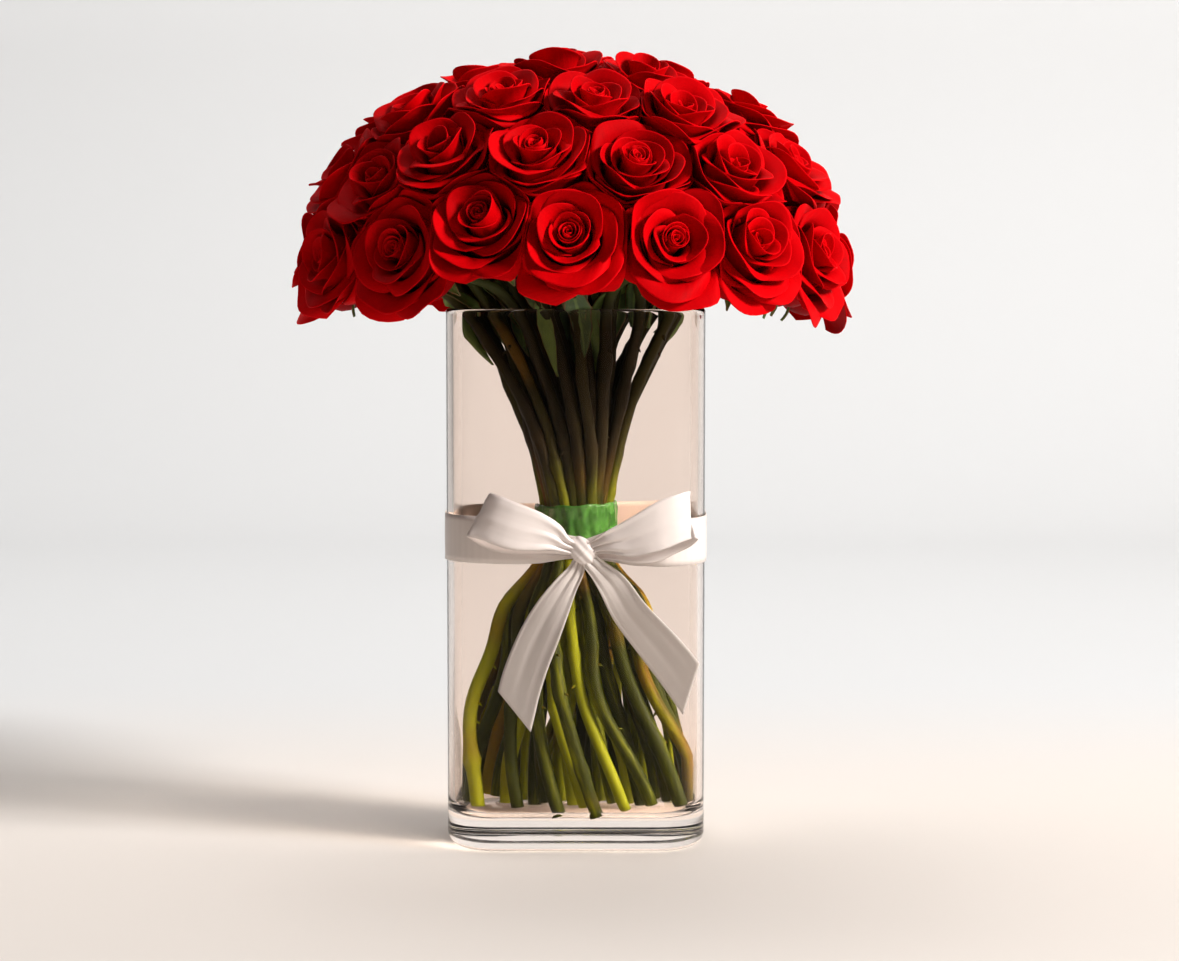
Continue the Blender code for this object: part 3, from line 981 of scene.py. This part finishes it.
@dataclass
class RoseStem:
    """One stem: a tapering tube with knuckles and thorns, and the bloom's hip, sepals and small leaves.

    Flare and stance are the shares by which it stands further out just under the waist and at its foot.
    Wander is how far it strays in the glass below and above the tie; room and rim bound it to the glass.
    Leafy is the share of its blades that grow.
    """

    number: int
    route: Array
    base: Array
    axis: Array
    row: int
    radius: float = 0.0039
    neck: float = 0.0023
    rings: int = 64
    sides: int = 10
    knuckles: int = 7
    thorns: int = 5
    sepals: int = 5
    blades: int = 2
    wander: tuple[float, float] = (0.0042, 0.0026)
    flare: float = 0.25
    stance: float = 0.13
    leafy: float = 0.6
    room: tuple[float, float] = (0.0665, 0.0415)
    rim: float = 0.314

    def __post_init__(self) -> None:
        """Seeds this stem's own irregularities."""
        self.random = np.random.default_rng(900 + self.number)
        self.tone = float(self.random.uniform(0.0, 1.0))
        self.radius *= self.random.uniform(0.80, 1.08)
        self.side, self.up = square_to(self.axis)

    def _shaft(self) -> tuple[Surface, Array, Array]:
        """The stem's tube: thinner towards the neck, and thicker and bent a little at each knuckle.

        Returns:
            The tube, its middle line and its radii.
        """
        path = self._wandered(through(self.route, self.rings))
        along = np.linspace(0.0, 1.0, self.rings)
        radius = self.neck + (self.radius - self.neck) * (1 - along**5)
        radius = radius * (1 + 0.06 * smooth(0.162, 0.105, path[:, 2]))
        sway = np.zeros_like(path)
        for knuckle in self.random.uniform(0.06, 0.9, self.knuckles):
            radius = radius * (1 + 0.22 * np.exp(-(((along - knuckle) / 0.011) ** 2)))
            way = self.random.normal(0.0, 0.0007, 3) * np.array([1.0, 1.0, 0.0])
            sway = sway + way * np.exp(-(((along[:, None] - knuckle) / 0.04) ** 2))
        path = path + sway * np.sin(math.pi * along)[:, None]
        hip = self.base + np.outer((0.001, 0.003, 0.0055, 0.008), self.axis)
        path = np.concatenate([path, hip])
        radius = np.concatenate([radius, (0.0036, 0.0048, 0.0056, 0.0050)])
        return tube(path, radius, self.sides, self.side, self.tone), path, radius

    def _wandered(self, path: Array) -> Array:
        """The middle line flared under the waist and at its foot, pushed aside and kept in the glass.

        Each flare and each push fades along the height, as a bell curve or a soft step.

        Args:
            path: the middle line, (n, 3).

        Returns:
            The new middle line, (n, 3).
        """
        height = path[:, 2:]
        flare = self.flare * np.exp(-(((height - 0.140) / 0.022) ** 2))
        flare = flare + self.stance * smooth(0.12, 0.03, height)
        path = path * (1 + flare * np.array([1.0, 0.4, 0.0]))
        for middle, spread, wander in zip((0.085, 0.268), (0.034, 0.030), self.wander):
            aside = self.random.normal(0.0, wander, 2) * np.exp(-(((height - middle) / spread) ** 2))
            path = path + np.concatenate([aside, np.zeros_like(height)], axis=1)
        return self._inside(path)

    def _inside(self, points: Array) -> Array:
        """Points below the rim kept inside an upright rounded oblong, and the others as they are.

        Args:
            points: the points, (..., 3).

        Returns:
            The points, each scaled towards the middle where it was outside.
        """
        fullness = np.sum((points[..., :2] / np.array(self.room)) ** 4, axis=-1) ** 0.25
        shrink = np.where(points[..., 2] < self.rim, np.maximum(fullness, 1.0), 1.0)
        return np.concatenate([points[..., :2] / shrink[..., None], points[..., 2:]], axis=-1)

    def _leaves(self, path: Array) -> list[Surface]:
        """Narrow blades that leave the stem above the rim and hang down beside it.

        A blade's middle line is the stem's own, moved out by a sine, and its half width is a sine too.

        Args:
            path: the stem's middle line, (n, 3).

        Returns:
            The blades.
        """
        made = []
        run = np.cumsum(np.linalg.norm(np.diff(path, axis=0, prepend=path[:1]), axis=1))
        high = float(np.interp(self.rim + 0.008, path[:, 2], run))
        for _ in range(self.blades):
            start, long = high + self.random.uniform(-0.006, 0.014), self.random.uniform(0.026, 0.052)
            spin, half = self.random.uniform(0, 2 * math.pi), self.random.uniform(0.0045, 0.0085)
            share, tone = self.random.uniform(), self.random.uniform(0.0, 1.0) ** 1.4
            if share > self.leafy:
                continue
            u, v = np.linspace(-1, 1, 7)[:, None, None], np.linspace(0, 1, 14)
            line = np.stack([np.interp(start - long * v, run, path[:, k]) for k in range(3)], axis=1)
            out = np.array([math.cos(spin), math.sin(spin), 0.0])
            over = np.array([-math.sin(spin), math.cos(spin), 0.0])
            off = 0.0020 + 0.0085 * np.sin(0.75 * math.pi * v)
            wide = half * np.sin(math.pi * (0.06 + 0.93 * v) ** 0.75) * (1 + 0.05 * np.sin(24 * v))
            grid = line + (off[:, None] + 0.0022 * u**2) * out + wide[:, None] * u * over
            made.append(leaf_shells(self._inside(grid)[None], 0.0004, np.array([tone])))
        return made

    def _thorns(self, path: Array, radius: Array) -> list[Surface]:
        """Small hooked cones that stand out from the stem and point down a little.

        Args:
            path: the stem's middle line, (n, 3).
            radius: its radii.

        Returns:
            The thorns.
        """
        made = []
        for _ in range(self.thorns):
            i = int(self.random.integers(6, len(path) - 10))
            run = unit(path[i + 1] - path[i - 1])
            spin = self.random.uniform(0, 2 * math.pi)
            side = unit(np.cross(run, self.side))
            out = math.cos(spin) * side + math.sin(spin) * np.cross(run, side)
            t = np.linspace(0.0, 1.0, 5)[:, None]
            line = path[i] + out * (0.6 * radius[i] + 0.0042 * t) - run * 0.0016 * t**2
            made.append(tube(line, 0.0013 * (1 - t[:, 0]) ** 0.8 + 0.00012, 6, run, self.tone))
        return made

    def _sepals(self) -> Surface:
        """Narrow pointed sepals that leave the hip and bend back towards the stem.

        Each one's angle from the bloom's axis grows along it, and is added up to give its line.

        Returns:
            The sepals as one surface.
        """
        rand = self.random
        u = np.linspace(-1, 1, 5)[None, :, None]
        v = np.linspace(0, 1, 12)[None, None, :]
        long = 0.024 + 0.006 * rand.uniform(-1, 1, (self.sepals, 1, 1))
        bend = np.radians(95 + 30 * rand.uniform(-1, 1, (self.sepals, 1, 1)))
        angle = math.radians(35) + bend * v**0.8
        step = np.diff(v, axis=2, prepend=0.0) * long
        r = 0.0050 + np.cumsum(np.sin(angle) * step, axis=2)
        z = 0.0065 + np.cumsum(np.cos(angle) * step, axis=2)
        half = 0.0046 * np.sin(math.pi * (0.18 + 0.80 * v) ** 0.8) * (1 + 0.1 * np.sin(18 * v))
        turn = np.arange(self.sepals)[:, None, None] * 2 * math.pi / self.sepals
        turn = turn + rand.uniform(0, 2 * math.pi)
        lift = 0.0010 * u**2
        spoke = np.cos(turn)[..., None] * self.side + np.sin(turn)[..., None] * self.up
        cross = -np.sin(turn)[..., None] * self.side + np.cos(turn)[..., None] * self.up
        grid = self.base + (r + lift)[..., None] * spoke + (half * u)[..., None] * cross
        grid = grid + (z + lift)[..., None] * self.axis
        return leaf_shells(grid, 0.0004, rand.uniform(0.2, 0.9, self.sepals))

    def build(self, rind: bpy.types.Material, skin: bpy.types.Material) -> bpy.types.Object:
        """The stem with its thorns, hip, sepals and leaves.

        Args:
            rind: the stem's material.
            skin: the sepals' and leaves' material.

        Returns:
            The piece, one of those in place of the stem's packed row.
        """
        shaft, path, radius = self._shaft()
        sepals = joined([self._sepals(), *self._leaves(path)])
        wood = joined([shaft, *self._thorns(path, radius)])
        both = joined([wood, sepals])
        second = np.concatenate(
            [
                np.zeros(len(wood.quads)),
                np.ones(len(sepals.quads)),
                np.zeros(len(wood.tris)),
                np.ones(len(sepals.tris)),
            ]
        )
        piece = both.piece(f"rose_stem_{self.number:02d}", rind, skin, second=second)
        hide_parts(f"stems_row_{self.row + 1}")
        return dressed(piece)


def dressed(piece: bpy.types.Object) -> bpy.types.Object:
    """Lets a piece ride on the body and reports it.

    Args:
        piece: the piece.

    Returns:
        The same piece.
    """
    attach(piece, BODY)
    log.info("%s: %d faces", piece.name, len(piece.data.polygons))
    return piece


# ---------------------------------------------------------------- vase


@dataclass
class GlassVase:
    """The vase: a straight wall with round corners, a thick base with a round heel and a round rim."""

    low: Array
    high: Array
    corner: float = 0.029
    wall: float = 0.004
    floor: float = 0.019
    heel: float = 0.009
    hollow_heel: float = 0.010
    arc: int = 20
    flat: int = 6

    def outline(self, inset: float, shrink: float = 1.0) -> Array:
        """The glass's rounded oblong: a quarter circle at each corner and a straight line between two.

        Args:
            inset: how far it is moved in.
            shrink: its scale towards the middle, applied last.

        Returns:
            The points, (round, 2), counter-clockwise.
        """
        half = (self.high - self.low)[:2] / 2 - inset
        corner = max(self.corner - inset, 0.002)
        bend = np.linspace(0.0, math.pi / 2, self.arc)
        parts = []
        for quarter in range(4):
            sign = np.array([(1, 1), (-1, 1), (-1, -1), (1, -1)][quarter])
            turn = bend + quarter * math.pi / 2
            spot = sign * (half - corner)
            arc = spot + corner * np.stack([np.cos(turn), np.sin(turn)], axis=1)
            following = np.array([(-1, 1), (-1, -1), (1, -1), (1, 1)][quarter]) * (half - corner)
            ahead = following + corner * np.array([math.cos(turn[-1]), math.sin(turn[-1])])
            t = np.linspace(0, 1, self.flat + 2)[1:-1, None]
            parts += [arc, arc[-1] * (1 - t) + ahead * t]
        return np.concatenate(parts) * shrink

    def _profile(self) -> list[tuple[float, float, float]]:
        """The wall's profile from the middle of the underside up the outside, over the rim and down.

        Returns:
            The inset, height and shrink of each ring.
        """
        top, half, inner = float(self.high[2]), self.wall / 2, self.wall + self.hollow_heel
        quarter = np.linspace(0, math.pi / 2, 13)
        outside = np.linspace(self.heel * 1.6, top - self.wall, 18)
        inside = np.linspace(top - self.wall, self.floor + self.hollow_heel * 1.2, 18)
        rows = [(self.heel, 0.0010, 0.25), (self.heel, 0.0010, 0.6)]
        rows += [(self.heel, 0.0006, 0.88), (self.heel, 0.0, 0.97)]
        rows += [(self.heel * (1 - math.sin(a)), self.heel * (1 - math.cos(a)), 1.0) for a in quarter]
        rows += [(0.0, h, 1.0) for h in outside]
        for a in np.linspace(0, math.pi, 9):
            rows.append((half * (1 - math.cos(a)), top - half + half * math.sin(a), 1.0))
        rows += [(self.wall, h, 1.0) for h in inside]
        for a in quarter:
            inset, height = self.hollow_heel * math.cos(a), self.hollow_heel * (1 - math.sin(a))
            rows.append((inner - inset, self.floor + height, 1.0))
        rows += [(inner, self.floor - 0.0004, s) for s in (0.9, 0.6, 0.25)]
        return rows

    def build(self, finish: bpy.types.Material) -> bpy.types.Object:
        """The vase as one closed glass body.

        Args:
            finish: the glass.

        Returns:
            The piece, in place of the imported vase.
        """
        around = 4 * (self.arc + self.flat)
        rings = [
            np.concatenate([self.outline(inset, shrink), np.full((around, 1), height)], axis=1)
            for inset, height, shrink in self._profile()
        ]
        piece = turned_skin(np.stack(rings)).piece("glass_vase", finish)
        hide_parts("vase")
        return dressed(piece)


# ---------------------------------------------------------------- tape and ribbon


@dataclass
class BindingTape:
    """Tape wound tightly round the waist: its skin follows the stems a little and steps at each turn."""

    low: Array
    high: Array
    thick: float = 0.0008

    def build(self, finish: bpy.types.Material) -> bpy.types.Object:
        """The tape as one closed band.

        Args:
            finish: the tape's material.

        Returns:
            The piece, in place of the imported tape.
        """
        turn = (np.arange(144) / 144 * 2 * math.pi)[:, None]
        v = np.linspace(0, 1, 22)[None, :]
        radius = self.high[0] - self.thick / 2
        steps = 0.00035 * ((v * 3.2 + turn / (2 * math.pi)) % 1.0)
        ripple = 0.00045 * np.cos(18 * turn) * np.sin(math.pi * v) ** 0.3
        ripple = ripple + 0.0002 * np.sin(31 * turn + 9 * v)
        r = radius - 0.0006 + steps + ripple
        tilt = 0.0012 * np.sin(turn + 2.2) + 0.0004 * np.sin(9 * turn) * (2 * v - 1)
        z = self.low[2] + (self.high[2] - self.low[2]) * v + tilt
        grid = np.stack([r * np.cos(turn), r * np.sin(turn), z + 0 * turn], axis=-1)
        piece = leaf_shells(grid[None], self.thick, np.array([0.5]), ring=True).piece("green_tape", finish)
        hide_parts("binding_tape")
        return dressed(piece)


class Hand(Enum):
    """Which side of the knot a loop or tail is on."""

    LEFT = "left"
    RIGHT = "right"


Stations = tuple[tuple[float, float, float, float, float], ...]


@dataclass
class SatinBow:
    """The satin ribbon: a turn round the glass, a knot, two loops and two slant-cut tails.

    Stations along a loop or tail are in millimetres: the middle (x, y, z), the width, and the degrees that
    the line across the ribbon is turned from +X towards +Z. The tone of each piece is painted light and
    shade, by how it is held.
    """

    knot: Array
    width: float = 0.027
    thick: float = 0.00045
    loops: dict[Hand, Stations] = field(
        default_factory=lambda: {
            Hand.LEFT: (
                (0.5, -60.5, 178.5, 7.5, 57),
                (-6.0, -62.5, 181.0, 9.5, 57),
                (-12.0, -65.0, 185.0, 16.0, 60),
                (-21.7, -67.5, 188.5, 22.5, 68),
                (-31.0, -69.0, 191.0, 26.0, 72),
                (-39.8, -69.0, 193.8, 27.0, 70),
                (-48.5, -66.5, 197.0, 27.0, 68),
                (-54.5, -61.5, 197.5, 27.0, 61),
                (-50.5, -57.0, 193.5, 27.0, 66),
                (-42.0, -55.8, 189.5, 27.0, 72),
                (-31.0, -55.8, 187.0, 25.0, 74),
                (-19.0, -56.5, 183.0, 18.0, 75),
                (-9.0, -57.5, 179.5, 11.0, 80),
                (0.5, -58.0, 177.5, 7.5, 85),
            ),
            Hand.RIGHT: (
                (7.5, -60.5, 178.0, 7.5, 120),
                (13.0, -62.5, 180.2, 9.0, 127),
                (18.0, -65.0, 181.8, 13.0, 130),
                (29.2, -67.5, 184.2, 20.4, 120),
                (39.5, -69.0, 188.5, 24.0, 104),
                (49.2, -68.8, 193.0, 27.0, 94),
                (59.0, -66.0, 196.5, 27.0, 94),
                (66.0, -61.0, 197.8, 27.0, 97),
                (61.5, -57.0, 192.5, 27.0, 95),
                (52.0, -56.0, 187.5, 27.0, 95),
                (42.0, -55.8, 182.3, 25.5, 97),
                (31.0, -56.2, 179.5, 20.0, 97),
                (20.0, -57.0, 177.6, 12.0, 97),
                (7.5, -58.0, 176.5, 7.5, 95),
            ),
        }
    )
    tails: dict[Hand, Stations] = field(
        default_factory=lambda: {
            Hand.LEFT: (
                (3.2, -58.4, 173.0, 7.0, -42),
                (0.2, -59.0, 165.5, 9.5, -41),
                (-4.8, -59.6, 158.0, 13.0, -38),
                (-12.3, -59.6, 145.1, 19.0, -31),
                (-19.8, -59.0, 129.9, 23.5, -25),
                (-26.2, -58.2, 114.7, 24.5, -21),
                (-30.9, -57.4, 100.6, 25.0, -20),
                (-35.0, -56.8, 84.4, 25.0, -20),
            ),
            Hand.RIGHT: (
                (5.0, -60.6, 176.0, 8.0, 44),
                (9.0, -60.9, 170.8, 10.0, 42),
                (13.6, -60.0, 166.0, 12.0, 40),
                (19.5, -59.8, 159.6, 16.0, 38),
                (30.4, -59.4, 142.6, 21.5, 34),
                (45.6, -58.4, 124.0, 25.0, 37),
                (56.8, -57.6, 110.0, 26.5, 40),
                (66.1, -56.8, 97.3, 27.0, 40),
            ),
        }
    )
    # Painted light and shade by how a piece is held: loops lit, the band mostly in painted shade, hanging
    # ends in painted shade.
    lit: dict[str, float] = field(default_factory=lambda: {"folded": 1.0, "stretched": 0.3, "hung": 0.0})
    tail_slant: dict[Hand, float] = field(default_factory=lambda: {Hand.LEFT: 0.0078, Hand.RIGHT: -0.0097})

    def _strip(
        self, stations: Stations, count: int, gathered: Array, slant: float = 0.0, forward: float = 0.0
    ) -> tuple[Array, float]:
        """A ribbon's grid through its stations, creased lengthwise where it is gathered.

        Args:
            stations: the ribbon's stations.
            count: points along it.
            gathered: how deep its creases are at each point along.
            slant: how far the cut end runs on at one edge and stops short at the other.
            forward: how far the right edge leans forwards, as a share of the width.

        Returns:
            The grid, (1, across, along, 3), and the middle line's length.
        """
        line = through(np.array(stations), count)
        centre, width, turned = line[:, :3] / 1000, line[:, 3] / 1000, np.radians(line[:, 4])
        lean = -forward * smooth(0.1, 0.5, np.linspace(0, 1, count))
        side = np.stack([np.cos(turned), lean, np.sin(turned)], axis=1)
        run = unit(np.gradient(centre, axis=0))
        side = unit(side - run * np.sum(side * run, axis=1, keepdims=True) * 0.5)
        face = unit(np.cross(side, run))
        u = np.linspace(-1, 1, 17)[:, None]
        along = np.linspace(0, 1, count)[None, :]
        fold = gathered * (np.cos(2.6 * math.pi * u + 0.6) + 0.5 * np.cos(5.3 * math.pi * u + 3 * along))
        fold = fold + 0.0007 * (1 - u**2) * np.sin(math.pi * along)
        grid = centre + (u * width / 2)[..., None] * side + fold[..., None] * face
        grid = grid + (slant * u * smooth(0.5, 1.0, along))[..., None] * run
        return grid[None], float(np.linalg.norm(np.diff(centre, axis=0), axis=1).sum())

    def _declared(
        self, grid: Array, name: str, finish: bpy.types.Material, held: str
    ) -> bpy.types.Object:
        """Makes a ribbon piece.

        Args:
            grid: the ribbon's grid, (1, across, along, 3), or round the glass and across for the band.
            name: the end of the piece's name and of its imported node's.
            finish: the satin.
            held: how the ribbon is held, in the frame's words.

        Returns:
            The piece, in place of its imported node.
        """
        around = held == "stretched"
        lit = np.array([self.lit[held]])
        piece = leaf_shells(grid, self.thick, lit, ring=around).piece(f"satin_{name}", finish)
        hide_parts("ribbon_band" if around else f"bow_{name}")
        return dressed(piece)

    def band(self, vase: GlassVase, low: float, finish: bpy.types.Material) -> bpy.types.Object:
        """The turn round the glass, just off its outline, with a faint ripple and pinched behind the knot.

        Args:
            vase: the vase it goes round.
            low: the height of its lower edge.
            finish: the satin.

        Returns:
            The piece.
        """
        outline = vase.outline(-0.0008)
        around = np.cumsum(np.linalg.norm(np.diff(outline, axis=0, append=outline[:1]), axis=1))
        v = np.linspace(0, 1, 9)[None, :]
        phase = (around / around[-1] * 2 * math.pi)[:, None]
        swell = 1 + 0.004 * np.sin(math.pi * v) * (1 + np.sin(5 * phase)) / 2
        pinch = np.exp(-(((outline[:, :1] - self.knot[0]) / 0.020) ** 2)) * (outline[:, 1:] < 0)
        z = low + 0.0045 * pinch + (self.width - 0.0165 * pinch) * v
        z = z + 0.0010 * np.sin(2 * phase + 0.8) * (1 - pinch)
        grid = np.stack([outline[:, :1] * swell, outline[:, 1:] * swell, z + 0 * phase], axis=-1)
        return self._declared(grid[None], "band", finish, "stretched")

    def loop(self, hand: Hand, finish: bpy.types.Material) -> bpy.types.Object:
        """One loop: out from the knot, round its end and back, gathered at the knot and wide at its end.

        Args:
            hand: its side.
            finish: the satin.

        Returns:
            The piece.
        """
        far = np.sin(math.pi * np.linspace(0, 1, 84))
        gathered = 0.0010 * (1 - smooth(0.0, 0.8, far)) + 0.00015
        grid, length = self._strip(self.loops[hand], 84, gathered)
        return self._declared(grid, f"loop_{hand.value}", finish, "folded")

    def tail(self, hand: Hand, finish: bpy.types.Material) -> bpy.types.Object:
        """One hanging end, gathered under the knot and cut on the slant.

        Args:
            hand: its side.
            finish: the satin.

        Returns:
            The piece.
        """
        along = np.linspace(0, 1, 64)
        gathered = 0.0008 * (1 - smooth(0.0, 0.32, along)) + 0.00018 * np.sin(math.pi * along)
        grid, length = self._strip(self.tails[hand], 64, gathered, self.tail_slant[hand], 0.34)
        return self._declared(grid, f"tail_{hand.value}", finish, "hung")

    def centre(self, finish: bpy.types.Material) -> bpy.types.Object:
        """The knot: a barrel with round ends that leans to the right, with folds that run round it.

        Args:
            finish: the satin.

        Returns:
            The piece.
        """
        lean = np.linspace(0.02, math.pi - 0.02, 40)[:, None]
        turn = (np.arange(56) / 56 * 2 * math.pi)[None, :]
        across = -np.cos(lean)
        fold = 1 + 0.055 * np.cos(9 * across + 0.6 * np.sin(turn)) * np.sin(lean)
        belly = np.sin(lean) ** 0.7 * fold
        depth, along = 0.0054 * belly * np.cos(turn), 0.0092 * belly * np.sin(turn)
        tilt = math.radians(46)
        x = 0.0066 * across * math.cos(tilt) + along * math.sin(tilt)
        z = 0.0066 * across * math.sin(tilt) - along * math.cos(tilt)
        rings = self.knot + np.stack([x, -depth, z], axis=-1)
        # The knot's tone 0.8 paints it a little into shade beside the lit loops.
        piece = turned_skin(rings, 0.8).piece("satin_knot", finish)
        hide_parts("bow_knot")
        return dressed(piece)


# ---------------------------------------------------------------- studio


Place = tuple[float, float, float]
MIDDLE: Place = (0.0, 0.0, 0.26)


@dataclass
class Studio:
    """A pale floor that sweeps up into a backdrop, soft lights and the camera.

    The air glows between two strengths, from its darkest direction in front to the brightest behind.
    """

    camera_at: Place = (0.008, -1.640, 0.355)
    lens: float = 85.5
    pitch: float = math.radians(-4.98)
    air: tuple[float, float] = (0.03, 0.37)
    darkest: float = -0.4
    paper: float = 0.001

    def sweep(self, finish: bpy.types.Material) -> bpy.types.Object:
        """Floor and backdrop as one sheet: level, then a quarter turn, then upright.

        Args:
            finish: the paper.

        Returns:
            The staged sheet.
        """
        bend, wall, front, back, half = 0.6, 3.0, -9.0, 1.6, 7.0
        turn = np.linspace(0, math.pi / 2, 20)
        y = np.concatenate([[front, -1.0, 0.0], back + bend * np.sin(turn), [back + bend]])
        z = np.concatenate([[0.0, 0.0, 0.0], bend * (1 - np.cos(turn)), [wall]])
        x = np.linspace(-half, half, 9)
        grid = np.stack(np.broadcast_arrays(x[:, None], y[None], z[None]), axis=-1)
        sunk = grid - np.array([0.0, 0.0, self.paper / 2])
        piece = leaf_shells(sunk[None], self.paper, np.array([0.5])).piece("studio_sweep", finish)
        return piece

    def light(self, name: str, at: Place, size: float, power: float, colour: Colour, towards: Place) -> None:
        """A square soft light.

        Args:
            name: its name.
            at: where it stands.
            size: its side.
            power: its power in watts.
            colour: its colour.
            towards: the point that it looks at.
        """
        data = bpy.data.lights.new(name, "AREA")
        data.size, data.energy, data.color = size, power, colour
        lamp = bpy.data.objects.new(name, data)
        lamp.location = at
        aim = np.array(towards) - np.array(at)
        tip = math.atan2(math.hypot(aim[0], aim[1]), -aim[2])
        lamp.rotation_euler = (tip, 0.0, math.atan2(aim[0], -aim[1]) + math.pi)
        bpy.context.scene.collection.objects.link(lamp)

    def build(self, finish: bpy.types.Material) -> None:
        """The whole studio, with the world's plain light.

        Args:
            finish: the floor's and the backdrop's material.
        """
        self.sweep(finish)
        self.light("key", (3.60, -1.60, 2.44), 1.0, 300.0, (1.0, 0.98, 0.96), MIDDLE)
        self.light("top", (0.2, 0.6, 2.1), 1.2, 8.0, (1.0, 1.0, 1.0), MIDDLE)
        self.light("wash", (-0.80, 0.9, 2.4), 1.6, 24.0, (1.0, 1.0, 1.0), (-0.80, 2.3, 0.5))
        world = bpy.data.worlds.new("studio_air")
        world.use_nodes = True
        tree = world.node_tree
        way = tree.nodes.new("ShaderNodeTexCoord")
        parts = tree.nodes.new("ShaderNodeSeparateXYZ")
        grow = tree.nodes.new("ShaderNodeMapRange")
        grow.inputs["From Min"].default_value = self.darkest
        grow.inputs["To Min"].default_value, grow.inputs["To Max"].default_value = self.air
        tree.links.new(way.outputs["Generated"], parts.inputs[0])
        tree.links.new(parts.outputs["Y"], grow.inputs["Value"])
        tree.links.new(grow.outputs["Result"], tree.nodes["Background"].inputs["Strength"])
        tree.nodes["Background"].inputs["Color"].default_value = (1.0, 1.0, 1.0, 1.0)
        scene = bpy.context.scene
        scene.world = world
        scene.view_settings.view_transform = "Standard"
        data = bpy.data.cameras.new("camera")
        data.lens, data.sensor_width = self.lens, 36.0
        camera = bpy.data.objects.new("camera", data)
        camera.location = self.camera_at
        camera.rotation_euler = (math.pi / 2 + self.pitch, 0.0, 0.0)
        scene.collection.objects.link(camera)
        scene.camera = camera


def corners(node: str) -> tuple[Array, Array]:
    """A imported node's lowest and highest corner."""
    low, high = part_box(node)
    return np.array(low), np.array(high)


def main() -> None:
    """Builds every piece in order."""
    logging.basicConfig(level=logging.INFO, format="%(message)s")
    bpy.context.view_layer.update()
    Studio().build(StudioPaper().material())
    plan = BunchPlan()
    petal, rind, skin = PetalVelvet().material(), StemRind().material(), LeafSkin().material()
    satin = SatinWeave().material()
    for number, i in enumerate(plan.order, start=1):
        head = RoseHead(number, plan.bases[i], plan.axes[i], plan.hearts[i], plan.neighbours(i))
        low, high = corners(f"rose_bloom_{number:02d}")
        middle = plan.bases[i] + plan.axes[i] * plan.bloom_length / 2
        if np.linalg.norm((low + high) / 2 - middle) > ASTRAY:
            raise ValueError(f"rose_bloom_{number:02d} isn't where the plan puts it")
        head.build(petal)
        RoseStem(number, plan.routes[i], plan.bases[i], plan.axes[i], int(plan.row[i])).build(rind, skin)
    vase = GlassVase(*corners("vase"))
    vase.build(ClearGlass().material())
    BindingTape(*corners("binding_tape")).build(FloralTape().material())
    low, high = corners("bow_knot")
    bow = SatinBow((low + high) / 2)
    bow.band(vase, float(corners("ribbon_band")[0][2]), satin)
    bow.centre(satin)
    for hand in Hand:
        bow.loop(hand, satin)
        bow.tail(hand, satin)


if __name__ == "__main__":
    main()
